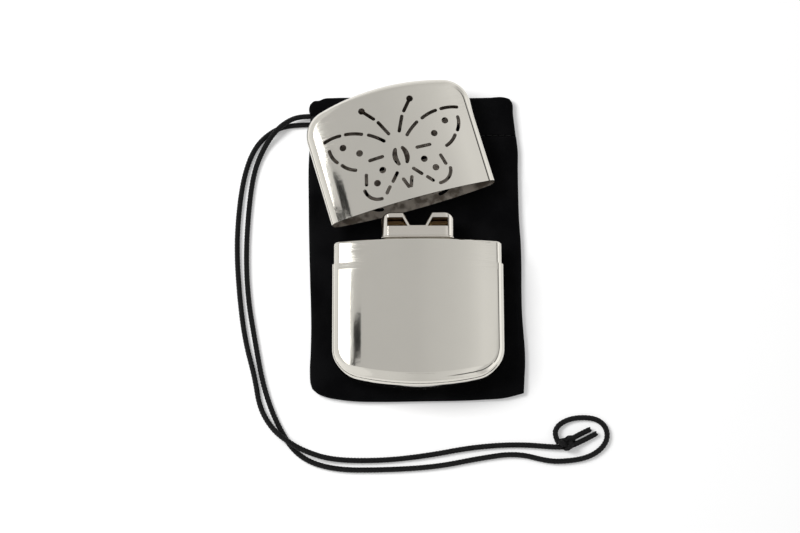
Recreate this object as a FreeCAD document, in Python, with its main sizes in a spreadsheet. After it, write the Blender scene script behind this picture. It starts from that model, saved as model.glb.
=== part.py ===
import FreeCAD, Part
import math
import os
import Sketcher

# Pocket catalytic hand warmer, opened for lighting, lying on its drawstring pouch.
# Millimetres, +Z up. The origin is the middle of the pouch on the surface that it lies on, and +Y runs
# along the warmer from the tank to the cap. Every size is a cell of the spreadsheet, and the features
# are bound to it.

V = FreeCAD.Vector

SIZES = {
    # the warmer's common oval section
    "warmer_width": 68.0,
    "warmer_depth": 16.5,
    "side_wall": 6.0,
    "crease_radius": 3.9,
    "shell_metal": 0.5,
    "fit_gap": 0.15,
    # tank
    "tank_height": 49.9,
    "bottom_arc": 97.0,
    "bottom_corner": 13.4,
    "collar_rise": 9.4,
    "collar_lap": 7.0,
    "shoulder_corner": 1.3,
    "neck_width": 27.3,
    "neck_depth": 9.5,
    "neck_corner": 3.0,
    "neck_rise": 3.0,
    "flange_reach": 1.1,
    "wadding_gap": 0.35,
    "felt_thickness": 3.0,
    # burner
    "burner_metal": 0.4,
    "slip_gap": 0.1,
    "seat_gap": 0.05,
    "foot_gap": 0.6,
    "foot_height": 0.8,
    "foot_flare": 0.35,
    "ear_top": 11.2,
    "ear_half_gap": 5.7,
    "notch_floor": 5.5,
    "notch_half": 2.65,
    "hood_edge": 1.0,
    "window_inset": 2.5,
    "window_sill": 5.3,
    "window_head": 8.9,
    "bar_width": 1.3,
    "notch_lip": 0.9,
    "frame_metal": 0.25,
    "frame_lip": 1.2,
    "gauze_wire": 0.2,
    "mat_thickness": 1.0,
    # cap
    "cap_height": 49.4,
    "crown_arc": 122.0,
    "crown_corner": 11.0,
    "slot_width": 1.4,
    "dot_width": 2.7,
    "vent_middle": 20.0,
    # how the pieces lie
    "tank_across": 1.0,
    "tank_up": -60.9,
    "cap_off": 16.1,
    "cap_shift": -1.5,
    "cap_tilt": 15.8,
    "rest_gap": 0.3,
    # pouch
    "pouch_width": 85.0,
    "pouch_bottom": 63.0,
    "panel_thickness": 1.9,
    "mouth_gap": 0.1,
    "pouch_corner": 4.0,
    "pouch_edge": 1.2,
    "hem_line": 46.2,
    "hem_depth": 17.2,
    "hem_width": 83.0,
    "hem_shift": -0.8,
    "hem_corner": 3.0,
    "hem_cloth": 0.35,
    "seam_gap": 0.1,
    "hem_seam": 1.6,
    "hem_join": 4.0,
    # drawstring
    "cord_width": 2.2,
    "flat_cord_width": 2.9,
    "flat_cord_thickness": 1.0,
    "flat_cord_up": 53.5,
    "knot_length": 7.4,
    "knot_width": 5.8,
    "knot_height": 5.2,
}
MARGIN = 2.0  # how far every cutter reaches past what it cuts

# The drawstring's two free strands from the hem to the knot, and its two cut ends beyond the knot.
# Every height is that of the cord's middle line; FLOOR is that height where the cord lies on the surface.
FLOOR = 1.15
CORD_ROUTES = {
    "cord_inner": [
        (-42.3, 55.0, 2.95), (-46.6, 55.0, 2.95), (-51.4, 52.8, 3.9), (-56.3, 48.8, 3.7),
        (-61.0, 42.4, 1.6), (-65.0, 32.5, FLOOR),
        (-66.9, 18.0, FLOOR), (-67.9, -2.0, FLOOR), (-66.9, -21.0, FLOOR), (-63.7, -39.5, FLOOR),
        (-60.2, -58.0, FLOOR), (-54.6, -73.2, FLOOR), (-46.6, -85.8, FLOOR), (-33.0, -91.0, FLOOR),
        (-13.0, -91.2, FLOOR), (8.0, -90.0, FLOOR), (25.0, -86.6, FLOOR), (39.5, -84.6, FLOOR),
        (52.0, -88.0, FLOOR), (59.2, -87.9, FLOOR), (66.4, -86.8, FLOOR), (71.9, -84.0, FLOOR),
        (75.3, -79.6, FLOOR), (75.1, -74.6, FLOOR), (71.6, -71.1, FLOOR), (65.9, -70.3, FLOOR),
        (60.4, -71.0, FLOOR), (56.0, -73.4, 1.4), (54.2, -77.2, 2.0), (55.9, -80.9, 2.7),
    ],
    "cord_outer": [
        (-42.3, 52.0, 1.25), (-49.0, 52.0, 1.25), (-56.6, 50.2, FLOOR), (-64.2, 43.6, FLOOR),
        (-68.6, 32.5, FLOOR), (-70.8, 18.0, FLOOR), (-71.7, 0.0, FLOOR), (-70.3, -20.0, FLOOR),
        (-67.8, -38.5, FLOOR), (-63.6, -54.0, FLOOR), (-61.7, -66.0, FLOOR), (-56.6, -74.8, 2.4),
        (-51.0, -79.9, 4.6), (-44.2, -84.0, 4.4), (-33.0, -87.2, 1.5), (-14.0, -87.5, FLOOR),
        (4.0, -85.6, FLOOR), (22.0, -82.2, FLOOR), (40.0, -81.0, FLOOR), (56.4, -82.6, 1.6),
    ],
    "cord_tail_a": [(61.0, -79.3, 2.4), (64.8, -77.0, 1.7), (68.6, -75.2, FLOOR)],
    "cord_tail_b": [(62.0, -81.6, 2.0), (66.4, -79.5, 1.5), (71.0, -76.8, FLOOR)],
}
KNOT_PLACE = (59.3, -81.2)
KNOT_TURN = 12.0

doc = FreeCAD.newDocument("HandWarmer")
sheet = doc.addObject("Spreadsheet::Sheet", "Sizes")
for row, (alias, number) in enumerate(SIZES.items(), start=1):
    sheet.set(f"A{row}", alias)
    sheet.set(f"B{row}", str(number))
    sheet.setAlias(f"B{row}", alias)
doc.recompute()

# Values that several pieces share, as expressions on the sheet's cells.
FACE_DROP = "((Sizes.warmer_depth - Sizes.side_wall) / 2)"
FACE_RADIUS = f"(((Sizes.warmer_width / 2) ^ 2 + {FACE_DROP} ^ 2) / (2 * {FACE_DROP}))"
POUCH_TOP = "(2 * Sizes.panel_thickness + Sizes.mouth_gap)"
WARMER_MIDDLE = f"({POUCH_TOP} + Sizes.rest_gap + Sizes.warmer_depth / 2)"
TANK_MOUTH = "(Sizes.tank_up + Sizes.tank_height)"
SHOULDER = f"({TANK_MOUTH} + Sizes.collar_rise)"
COLLAR_INSET = "(Sizes.shell_metal + Sizes.fit_gap)"
WADDING_INSET = f"({COLLAR_INSET} + Sizes.shell_metal + Sizes.wadding_gap)"
FLANGE_UNDER = "(2 * Sizes.shell_metal)"
FELT_TOP = f"({FLANGE_UNDER} + Sizes.shell_metal)"
SKIRT_IN = "Sizes.slip_gap"
SKIRT_OUT = "(Sizes.slip_gap + Sizes.burner_metal)"
HOOD_IN = f"({SKIRT_OUT} + Sizes.seat_gap)"
HOOD_OUT = f"({HOOD_IN} + Sizes.burner_metal)"
HOOD_WIDTH = f"(Sizes.neck_width + 2 * {HOOD_OUT})"
HOOD_DEPTH = f"(Sizes.neck_depth + 2 * {HOOD_OUT})"
HOOD_CORNER = f"(Sizes.neck_corner + {HOOD_OUT})"
HOOD_BASE = "(Sizes.foot_gap + Sizes.foot_height + Sizes.seat_gap)"
FRAME_BASE = "(Sizes.neck_rise + Sizes.slip_gap)"
MAT_BASE = f"({FRAME_BASE} + Sizes.frame_metal + Sizes.gauze_wire)"
MAT_TOP = f"({MAT_BASE} + Sizes.mat_thickness)"
CORD_RADIUS = "(Sizes.cord_width / 2)"


def value(expression):
    """The number that an expression on the sheet gives now."""
    found = sheet.evalExpression(expression)
    return float(getattr(found, "Value", found))


# ---------------------------------------------------------------- sketches and features


def origin_plane(body, role):
    return next(feature for feature in body.Origin.OriginFeatures if feature.Role == role)


def new_body(label):
    body = doc.addObject("PartDesign::Body", label)
    body.Label = label
    return body


def new_sketch(body, name, role):
    """A sketch on one of the body's own origin planes."""
    sketch = body.newObject("Sketcher::SketchObject", f"{body.Label}_{name}")
    sketch.AttachmentSupport = [(origin_plane(body, role), "")]
    sketch.MapMode = "FlatFace"
    return sketch


def join(sketch, first, second, kind="Coincident"):
    """The end of one edge meets the start of the next."""
    sketch.addConstraint(Sketcher.Constraint(kind, first, 2, second, 1))


def dimension(sketch, name, expression, kind, *where):
    """A dimension that follows an expression on the sheet."""
    index = sketch.addConstraint(Sketcher.Constraint(kind, *where, value(expression)))
    sketch.renameConstraint(index, name)
    sketch.setExpression(f"Constraints.{name}", expression)


def line(start, end):
    return Part.LineSegment(V(*start, 0), V(*end, 0))


def arc(centre, radius, start, end):
    return Part.ArcOfCircle(Part.Circle(V(*centre, 0), V(0, 0, 1), radius), start, end)


def round_ended_outline(sketch, width, length, end_arc, corner):
    """Straight sides from an open end on the X axis to an end of one wide arc between two corner arcs."""
    half, reach, wide, small = value(width) / 2, value(length), value(end_arc), value(corner)
    centre_y = reach - wide
    corner_x = half - small
    corner_y = centre_y + math.sqrt((wide - small) ** 2 - corner_x**2)
    turn = math.atan2(corner_y - centre_y, corner_x)
    sketch.addGeometry([
        line((-half, 0), (half, 0)),
        line((half, 0), (half, corner_y)),
        arc((corner_x, corner_y), small, 0, turn),
        arc((0, centre_y), wide, turn, math.pi - turn),
        arc((-corner_x, corner_y), small, math.pi - turn, math.pi),
        line((-half, corner_y), (-half, 0)),
    ], False)
    join(sketch, 0, 1)
    for edge in range(1, 5):
        join(sketch, edge, edge + 1, "Tangent")
    join(sketch, 5, 0)
    for constraint in (("Vertical", 1), ("Vertical", 5), ("Symmetric", 0, 1, 0, 2, -2), ("Equal", 2, 4),
                       ("PointOnObject", 0, 1, -1), ("PointOnObject", 3, 3, -2)):
        sketch.addConstraint(Sketcher.Constraint(*constraint))
    dimension(sketch, "width", width, "DistanceX", 0, 1, 0, 2)
    dimension(sketch, "corner", corner, "Radius", 2)
    dimension(sketch, "end_arc", end_arc, "Radius", 3)
    dimension(sketch, "centre_drop", f"{end_arc} - {length}", "DistanceY", 3, 3, -1, 1)


def flat_ended_outline(sketch, width, length):
    """A plain rectangle from the X axis to a flat end."""
    half, reach = value(width) / 2, value(length)
    sketch.addGeometry([
        line((-half, 0), (half, 0)),
        line((half, 0), (half, reach)),
        line((half, reach), (-half, reach)),
        line((-half, reach), (-half, 0)),
    ], False)
    for edge in range(4):
        join(sketch, edge, (edge + 1) % 4)
    for constraint in (("Vertical", 1), ("Vertical", 3), ("Horizontal", 2), ("Symmetric", 0, 1, 0, 2, -2),
                       ("PointOnObject", 0, 1, -1)):
        sketch.addConstraint(Sketcher.Constraint(*constraint))
    dimension(sketch, "width", width, "DistanceX", 0, 1, 0, 2)
    dimension(sketch, "length", length, "DistanceY", -1, 1, 2, 1)


def face_cutter(sketch, width, depth, face_radius):
    """What lies outside the gently rounded front face: an arc across the section, closed above."""
    radius, half, front = value(face_radius), value(width) / 2 + MARGIN, value(depth) / 2
    centre = front - radius
    turn = math.acos(half / radius)
    arc_end = centre + radius * math.sin(turn)
    top = front + MARGIN
    sketch.addGeometry([
        arc((0, centre), radius, turn, math.pi - turn),
        line((-half, arc_end), (-half, top)),
        line((-half, top), (half, top)),
        line((half, top), (half, arc_end)),
    ], False)
    for edge in range(4):
        join(sketch, edge, (edge + 1) % 4)
    for constraint in (("Vertical", 1), ("Vertical", 3), ("Horizontal", 2), ("PointOnObject", 0, 3, -2)):
        sketch.addConstraint(Sketcher.Constraint(*constraint))
    dimension(sketch, "across", f"{width} + {2 * MARGIN}", "DistanceX", 0, 2, 0, 1)
    dimension(sketch, "face_radius", face_radius, "Radius", 0)
    dimension(sketch, "centre_drop", f"{face_radius} - {depth} / 2", "DistanceY", 0, 3, -1, 1)
    dimension(sketch, "top", f"{depth} / 2 + {MARGIN}", "DistanceY", -1, 1, 2, 1)


def rounded_rectangle(sketch, width, height, corner, centre=("0", "0")):
    """A rectangle with equal corner arcs, centred on a point given by two expressions."""
    half_x, half_y, small = value(width) / 2, value(height) / 2, value(corner)
    mid_x, mid_y = value(centre[0]), value(centre[1])
    in_x, in_y = half_x - small, half_y - small
    edges = []
    for quarter, (sign_x, sign_y) in enumerate(((1, 1), (-1, 1), (-1, -1), (1, -1))):
        middle = (mid_x + sign_x * in_x, mid_y + sign_y * in_y)
        start = quarter * math.pi / 2
        edges.append(arc(middle, small, start, start + math.pi / 2))
        if quarter % 2 == 0:
            edges.append(line((mid_x + sign_x * in_x, mid_y + sign_y * half_y),
                              (mid_x - sign_x * in_x, mid_y + sign_y * half_y)))
        else:
            edges.append(line((mid_x + sign_x * half_x, mid_y + sign_y * in_y),
                              (mid_x + sign_x * half_x, mid_y - sign_y * in_y)))
    sketch.addGeometry(edges, False)
    for edge in range(8):
        join(sketch, edge, (edge + 1) % 8, "Tangent")
    for constraint in (("Horizontal", 1), ("Vertical", 3), ("Horizontal", 5), ("Vertical", 7),
                       ("Equal", 0, 2), ("Equal", 0, 4), ("Equal", 0, 6)):
        sketch.addConstraint(Sketcher.Constraint(*constraint))
    dimension(sketch, "corner", corner, "Radius", 0)
    dimension(sketch, "width", width, "DistanceX", 3, 1, 7, 1)
    dimension(sketch, "height", height, "DistanceY", 5, 1, 1, 1)
    dimension(sketch, "place_x", f"{centre[0]} + {width} / 2", "DistanceX", -1, 1, 7, 1)
    dimension(sketch, "place_y", f"{centre[1]} + {height} / 2", "DistanceY", -1, 1, 1, 1)


def pad(body, name, sketch, length, both_ways=False, backwards=False):
    feature = body.newObject("PartDesign::Pad", f"{body.Label}_{name}")
    feature.Profile = sketch
    feature.Midplane = both_ways
    feature.Reversed = backwards
    feature.setExpression("Length", length)
    doc.recompute()
    return feature


def pocket_through(body, name, sketch):
    """A pocket that goes right through both ways from its sketch."""
    before = body.Shape.Volume
    feature = body.newObject("PartDesign::Pocket", f"{body.Label}_{name}")
    feature.Profile = sketch
    feature.Type = "ThroughAll"
    feature.Midplane = True
    doc.recompute()
    assert feature.Shape.Volume < before, f"{feature.Label} cuts nothing"
    return feature


def cut_out(body, name, sketch, depth, upwards=True):
    """A pocket of a given depth, along its sketch's normal or against it."""
    before = body.Shape.Volume
    feature = body.newObject("PartDesign::Pocket", f"{body.Label}_{name}")
    feature.Profile = sketch
    feature.Type = "Length"
    feature.Reversed = upwards
    feature.setExpression("Length", depth)
    doc.recompute()
    assert feature.Shape.Volume < before, f"{feature.Label} cuts nothing"
    return feature


def mirrored(body, name, feature, role):
    copy = body.newObject("PartDesign::Mirrored", f"{body.Label}_{name}")
    copy.Originals = [feature]
    copy.MirrorPlane = (origin_plane(body, role), [""])
    body.Tip = copy
    doc.recompute()
    return copy


def fillet(body, name, base, wanted, radius):
    """Round the base's edges for which wanted(middle, direction) holds."""
    names = []
    for number, edge in enumerate(base.Shape.Edges, start=1):
        halfway = (edge.FirstParameter + edge.LastParameter) / 2
        if wanted(edge.valueAt(halfway), edge.tangentAt(halfway)):
            names.append(f"Edge{number}")
    feature = body.newObject("PartDesign::Fillet", f"{body.Label}_{name}")
    feature.Base = (base, names)
    feature.setExpression("Radius", radius)
    body.Tip = feature
    doc.recompute()
    return feature


def hollow_out(body, name, base, open_at, metal):
    """Leave a sheet of even thickness inside the outer form, open at one plane of constant Y."""
    names = [f"Face{number}" for number, face in enumerate(base.Shape.Faces, start=1)
             if face.BoundBox.YLength < 1e-6 and abs(face.BoundBox.YMin - open_at) < 1e-6]
    feature = body.newObject("PartDesign::Thickness", f"{body.Label}_{name}")
    feature.Base = (base, names)
    feature.Reversed = True
    feature.setExpression("Value", metal)
    body.Tip = feature
    doc.recompute()
    return feature


def place(item, across="0", up="0", height="0", turn="0"):
    """Put an object at a place, and turn it about the upright axis, all by expressions."""
    item.Placement = FreeCAD.Placement(V(0, 0, 0), FreeCAD.Rotation(V(0, 0, 1), value(turn)))
    item.setExpression("Placement.Base.x", across)
    item.setExpression("Placement.Base.y", up)
    item.setExpression("Placement.Base.z", height)
    if turn != "0":
        item.setExpression("Placement.Rotation.Angle", turn)


def oval_block(label, inset, length, corner=None, end_arc=None):
    """The warmer's section, set in by a distance, with creases round a wide end, or along to a flat one."""
    width = f"(Sizes.warmer_width - 2 * {inset})"
    depth = f"(Sizes.warmer_depth - 2 * {inset})"
    face_radius = f"({FACE_RADIUS} - {inset})"
    body = new_body(label)
    outline = new_sketch(body, "outline", "XY_Plane")
    if end_arc:
        round_ended_outline(outline, width, length, end_arc, corner)
    else:
        flat_ended_outline(outline, width, length)
    pad(body, "block", outline, f"{depth} + {2 * MARGIN}", both_ways=True)
    section = new_sketch(body, "section", "XZ_Plane")
    face_cutter(section, width, depth, face_radius)
    front = pocket_through(body, "front_face", section)
    both = mirrored(body, "back_face", front, "XY_Plane")
    if end_arc:
        creases = fillet(body, "creases", both, lambda middle, along: middle.y > 1e-3 and abs(along.z) < 0.7,
                         f"(Sizes.crease_radius - {inset})")
        return body, creases
    creases = fillet(body, "creases", both, lambda middle, along: abs(along.y) > 0.7,
                     f"(Sizes.crease_radius - {inset})")
    far = value(length) - 1e-3
    return body, fillet(body, "rim", creases, lambda middle, along: middle.y > far, corner)


def oval_shell(label, inset, length, corner, end_arc=None):
    """An oval block drawn from sheet metal, open at its near end."""
    body, creases = oval_block(label, inset, length, corner, end_arc)
    hollow_out(body, "sheet", creases, 0.0, "Sizes.shell_metal")
    return body


def oblong_sketch(body, name, grow, level):
    """The neck's oblong section, grown on every side, at a level along Y."""
    sketch = new_sketch(body, name, "XZ_Plane")
    sketch.setExpression("AttachmentOffset.Base.z", f"-1 * {level}")
    rounded_rectangle(sketch, f"(Sizes.neck_width + 2 * {grow})", f"(Sizes.neck_depth + 2 * {grow})",
                      f"(Sizes.neck_corner + {grow})")
    return sketch


def at_neck(body):
    """Stand a burner piece over the neck, with its origin on the tank's shoulder."""
    place(body, "Sizes.tank_across", SHOULDER, WARMER_MIDDLE)


# ---------------------------------------------------------------- tank


def make_tank():
    shell = oval_shell("tank_shell", "0", "Sizes.tank_height", "Sizes.bottom_corner", "Sizes.bottom_arc")
    place(shell, "Sizes.tank_across", TANK_MOUTH, WARMER_MIDDLE, "180")

    collar = oval_shell("tank_collar", COLLAR_INSET, "(Sizes.collar_lap + Sizes.collar_rise)",
                        "Sizes.shoulder_corner")
    neck_hole = oblong_sketch(collar, "neck_hole", "Sizes.seat_gap", "0")
    pocket_through(collar, "neck_cut", neck_hole)
    place(collar, "Sizes.tank_across", f"{TANK_MOUTH} - Sizes.collar_lap", WARMER_MIDDLE)

    neck = new_body("filler_neck")
    pad(neck, "flange", oblong_sketch(neck, "flange_outline", "Sizes.flange_reach", f"-1 * {FLANGE_UNDER}"),
        "Sizes.shell_metal", backwards=True)
    pad(neck, "tube", oblong_sketch(neck, "tube_outline", "0", f"-1 * {FLANGE_UNDER}"),
        f"{FLANGE_UNDER} + Sizes.neck_rise", backwards=True)
    pocket_through(neck, "bore", oblong_sketch(neck, "bore_outline", "(-1 * Sizes.shell_metal)", "0"))
    at_neck(neck)

    wadding_top = f"({SHOULDER} - {FELT_TOP} - Sizes.felt_thickness - 2 * Sizes.wadding_gap)"
    wadding_length = f"({wadding_top} - Sizes.tank_up - {WADDING_INSET})"
    wadding_corner = f"(Sizes.bottom_corner - {WADDING_INSET})"
    wadding, _ = oval_block("cotton_wadding", WADDING_INSET, wadding_length, wadding_corner,
                            f"(Sizes.bottom_arc - {WADDING_INSET})")
    place(wadding, "Sizes.tank_across", wadding_top, WARMER_MIDDLE, "180")

    felt = new_body("wick_felt")
    felt_base = f"-1 * ({FELT_TOP} + Sizes.felt_thickness)"
    felt_outline = oblong_sketch(felt, "outline", "Sizes.flange_reach", felt_base)
    pad(felt, "pad", felt_outline, "Sizes.felt_thickness", backwards=True)
    at_neck(felt)
    return [shell, collar, neck, wadding, felt]


# ---------------------------------------------------------------- burner


def hood_form():
    """The stamped hood: a front outline with ears and a notch, crossed with the skirt's plan, drawn thin."""
    half, depth = value(HOOD_WIDTH) / 2, value(HOOD_DEPTH)
    base, top, corner = value(HOOD_BASE), value("Sizes.ear_top"), value(HOOD_CORNER)
    gap, floor, notch = value("Sizes.ear_half_gap"), value("Sizes.notch_floor"), value("Sizes.notch_half")
    shoulder = half - corner
    slant = corner * math.sin(math.pi / 4)
    right_side = [V(half, base, 0), V(half, top - corner, 0)]
    right_ear = [V(shoulder, top, 0), V(gap, top, 0), V(notch, floor, 0)]
    edges = []
    for sign in (1, -1):
        side = [V(sign * point.x, point.y, 0) for point in right_side]
        ear = [V(sign * point.x, point.y, 0) for point in right_ear]
        middle = V(sign * (shoulder + slant), top - corner + slant, 0)
        edges += [Part.makeLine(*side), Part.Arc(side[1], middle, ear[0]).toShape()]
        edges += [Part.makeLine(start, end) for start, end in zip(ear, ear[1:])]
    for reach, level in ((notch, floor), (half, base)):
        edges.append(Part.makeLine(V(-reach, level, 0), V(reach, level, 0)))
    front = Part.Face(Part.Wire(Part.__sortEdges__(edges))).extrude(V(0, 0, depth))
    front.translate(V(0, 0, -depth / 2))
    plan = Part.makeBox(2 * half, top, depth, V(-half, base, -depth / 2))
    plan = plan.makeFillet(corner, [edge for edge in plan.Edges if abs(edge.tangentAt(0).y) > 0.9])
    block = front.common(plan).Solids[0]
    rims = []
    for edge in block.Edges:
        halfway = (edge.FirstParameter + edge.LastParameter) / 2
        along = edge.tangentAt(halfway)
        if edge.valueAt(halfway).y > floor + 1e-3 and abs(along.z) < 0.9 and abs(along.y) < 0.98:
            rims.append(edge)
    block = block.makeFillet(value("Sizes.hood_edge"), rims)
    mouth = [face for face in block.Faces if abs(face.CenterOfMass.y - base) < 1e-6]
    return block.makeThickness(mouth, -value("Sizes.burner_metal"), 1e-4)


def window_outline(sketch):
    """The window in the right ear: its inner side runs along the notch at the width of the slanted bar."""
    outer = f"({HOOD_WIDTH} / 2 - Sizes.window_inset)"
    lean = "((Sizes.ear_half_gap - Sizes.notch_half) / (Sizes.ear_top - Sizes.notch_floor))"
    bar = f"(Sizes.bar_width * sqrt(1 + {lean} ^ 2) + Sizes.notch_half)"
    head_in = f"({bar} + (Sizes.window_head - Sizes.notch_floor) * {lean})"
    sill_in = f"({bar} + (Sizes.window_sill - Sizes.notch_floor) * {lean})"
    corners = [(outer, "Sizes.window_sill"), (outer, "Sizes.window_head"), (head_in, "Sizes.window_head"),
               (sill_in, "Sizes.window_sill")]
    points = [(value(across), value(up)) for across, up in corners]
    sketch.addGeometry([line(points[edge], points[(edge + 1) % 4]) for edge in range(4)], False)
    for edge in range(4):
        join(sketch, edge, (edge + 1) % 4)
        dimension(sketch, f"across_{edge}", corners[edge][0], "DistanceX", -1, 1, edge, 1)
        dimension(sketch, f"up_{edge}", corners[edge][1], "DistanceY", -1, 1, edge, 1)


def make_hood():
    sheet_form = doc.addObject("Part::Feature", "hood_form")
    sheet_form.Shape = hood_form()
    windows = new_body("hood_windows")
    outline = new_sketch(windows, "outline", "XY_Plane")
    window_outline(outline)
    right = pad(windows, "right", outline, f"({HOOD_DEPTH} + {2 * MARGIN})", both_ways=True)
    mirrored(windows, "left", right, "YZ_Plane")
    flame_hole = new_body("flame_hole")
    opening = new_sketch(flame_hole, "outline", "XZ_Plane")
    rounded_rectangle(opening, "(2 * (Sizes.notch_half - Sizes.burner_metal))",
                      f"({HOOD_DEPTH} - 2 * Sizes.burner_metal - 2 * Sizes.notch_lip)", "Sizes.notch_lip")
    pad(flame_hole, "hole", opening, "Sizes.ear_top", backwards=True)
    cutters = doc.addObject("Part::MultiFuse", "hood_cutters")
    cutters.Shapes = [windows, flame_hole]
    hood = doc.addObject("Part::Cut", "burner_hood")
    hood.Base = sheet_form
    hood.Tool = cutters
    doc.recompute()
    at_neck(hood)
    return hood


def make_burner():
    skirt = new_body("burner_skirt")
    foot_grow = f"({HOOD_OUT} + Sizes.foot_flare)"
    foot_outline = oblong_sketch(skirt, "foot_outline", foot_grow, "Sizes.foot_gap")
    foot = pad(skirt, "foot", foot_outline, "Sizes.foot_height", backwards=True)
    fillet(skirt, "bead", foot, lambda middle, along: abs(along.y) < 0.5, "Sizes.foot_height * 0.45")
    pad(skirt, "sleeve", oblong_sketch(skirt, "sleeve_outline", SKIRT_OUT, "Sizes.foot_gap"),
        "Sizes.neck_rise - Sizes.foot_gap", backwards=True)
    pocket_through(skirt, "bore", oblong_sketch(skirt, "bore_outline", SKIRT_IN, "0"))
    at_neck(skirt)

    frame_grow = f"({HOOD_IN} - Sizes.seat_gap)"
    frame_height = f"(Sizes.frame_metal + 2 * Sizes.gauze_wire + Sizes.mat_thickness)"
    frame = new_body("gauze_frame")
    ring = oblong_sketch(frame, "ring_outline", frame_grow, FRAME_BASE)
    pad(frame, "ring", ring, frame_height, backwards=True)
    inside = oblong_sketch(frame, "inside", f"({frame_grow} - Sizes.frame_metal)",
                           f"({FRAME_BASE} + Sizes.frame_metal)")
    cut_out(frame, "recess", inside, frame_height, upwards=False)
    window = oblong_sketch(frame, "window_outline", f"({frame_grow} - Sizes.frame_lip)", "0")
    pocket_through(frame, "window", window)
    at_neck(frame)

    layers = [("lower_gauze", f"({FRAME_BASE} + Sizes.frame_metal)", "Sizes.gauze_wire"),
              ("catalyst_mat", MAT_BASE, "Sizes.mat_thickness"),
              ("upper_gauze", MAT_TOP, "Sizes.gauze_wire")]
    stack = []
    for label, level, thickness in layers:
        layer = new_body(label)
        grow = f"({frame_grow} - Sizes.frame_metal - Sizes.seat_gap)"
        pad(layer, "sheet", oblong_sketch(layer, "outline", grow, level), thickness, backwards=True)
        at_neck(layer)
        stack.append(layer)
    return [skirt, make_hood(), frame] + stack


# ---------------------------------------------------------------- cap and its vents

# The right half of a butterfly in round holes and slots, across from the cap's axis and up from its middle.
# Each slot is its start, its middle where it bends, and its end. Two bows with shared ends make a blade.
VENT_DOTS = [(10.0, 20.7), (21.2, 8.4), (15.5, 4.1), (8.6, -5.4), (12.1, -10.0)]
VENT_SLOTS = [
    ((10.0, 20.7), (6.3, 16.2)),
    ((4.9, 14.2), (2.2, 8.5)),
    ((4.8, 6.1), (7.3, 8.4), (10.0, 10.3)),
    ((12.6, 11.5), (15.6, 12.7), (18.7, 13.4)),
    ((21.1, 13.6), (24.4, 13.6), (27.5, 13.0)),
    ((26.7, 8.8), (26.3, 6.0), (25.0, 3.4)),
    ((23.4, 1.5), (21.5, -0.6), (18.9, -2.1)),
    ((7.2, 0.0), (12.4, -0.1)),
    ((15.4, -5.5), (16.4, -9.3)),
    ((17.7, -11.6), (16.2, -14.9), (12.1, -16.7)),
    ((3.4, -8.2), (5.9, -11.1)),
    ((7.8, -13.0), (9.5, -15.0)),
    ((1.5, 1.4), (2.0, -1.7), (1.7, -4.8)),
    ((1.5, 1.4), (2.7, -2.2), (1.7, -4.8)),
    ((1.7, -11.4), (0.5, -14.9)),
]


def slot_prism(points, width, reach):
    """A slot of even width with round ends, along a straight or once bent middle line, as a tall prism."""
    half = width / 2
    path = [V(x, y, 0) for x, y in points]
    if len(path) == 2:
        middle = Part.makeLine(path[0], path[1])
    else:
        middle = Part.Arc(*path).toShape()
    sides = []
    for sign in (1, -1):
        spots = []
        for parameter in (middle.FirstParameter, (middle.FirstParameter + middle.LastParameter) / 2,
                          middle.LastParameter):
            along = middle.tangentAt(parameter)
            spots.append(middle.valueAt(parameter) + V(-along.y, along.x, 0) * (sign * half))
        sides.append(spots)
    before = middle.tangentAt(middle.FirstParameter) * -half
    after = middle.tangentAt(middle.LastParameter) * half
    left, right = sides

    def side(spots):
        if len(path) == 2:
            return Part.makeLine(spots[0], spots[2])
        return Part.Arc(*spots).toShape()

    outline = Part.Wire(Part.__sortEdges__([
        side(left),
        Part.Arc(left[2], path[-1] + after, right[2]).toShape(),
        side(right),
        Part.Arc(right[0], path[0] + before, left[0]).toShape(),
    ]))
    prism = Part.Face(outline).extrude(V(0, 0, 2 * reach))
    prism.translate(V(0, 0, -reach))
    return prism


def make_cap():
    shell = oval_shell("cap_body", "0", "Sizes.cap_height", "Sizes.crown_corner", "Sizes.crown_arc")
    reach = value("Sizes.warmer_depth")
    width = value("Sizes.slot_width")
    dot = value("Sizes.dot_width")
    middle = value("Sizes.vent_middle")
    cutters = []
    for across, up in VENT_DOTS:
        for side in (1, -1):
            cutters.append(Part.makeCylinder(dot / 2, 2 * reach, V(side * across, middle + up, -reach)))
    for points in VENT_SLOTS:
        for side in (1, -1):
            cutters.append(slot_prism([(side * x, middle + y) for x, y in points], width, reach))
    vents = doc.addObject("Part::Feature", "cap_vents")
    vents.Shape = cutters[0].multiFuse(cutters[1:])
    cap = doc.addObject("Part::Cut", "cap_shell")
    cap.Label = "cap_shell"
    cap.Base = shell
    cap.Tool = vents
    doc.recompute()
    place(cap, "Sizes.tank_across + Sizes.cap_shift", f"{SHOULDER} + Sizes.cap_off", WARMER_MIDDLE,
          "Sizes.cap_tilt")
    return [cap]


# ---------------------------------------------------------------- pouch


def soft_slab(label, width, low, high, base, thickness, corner, rounded_top):
    """A cloth panel: a slab with round corners, whose outer face has a soft edge."""
    body = new_body(label)
    outline = new_sketch(body, "outline", "XY_Plane")
    rounded_rectangle(outline, width, f"({high} - {low})", corner, ("0", f"(({high} + {low}) / 2)"))
    block = pad(body, "cloth", outline, thickness)
    edge_level = value(thickness) if rounded_top else 0.0
    fillet(body, "soft_edge", block, lambda middle, along: abs(middle.z - edge_level) < 1e-6,
           "Sizes.pouch_edge")
    place(body, height=base)
    return body


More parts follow.
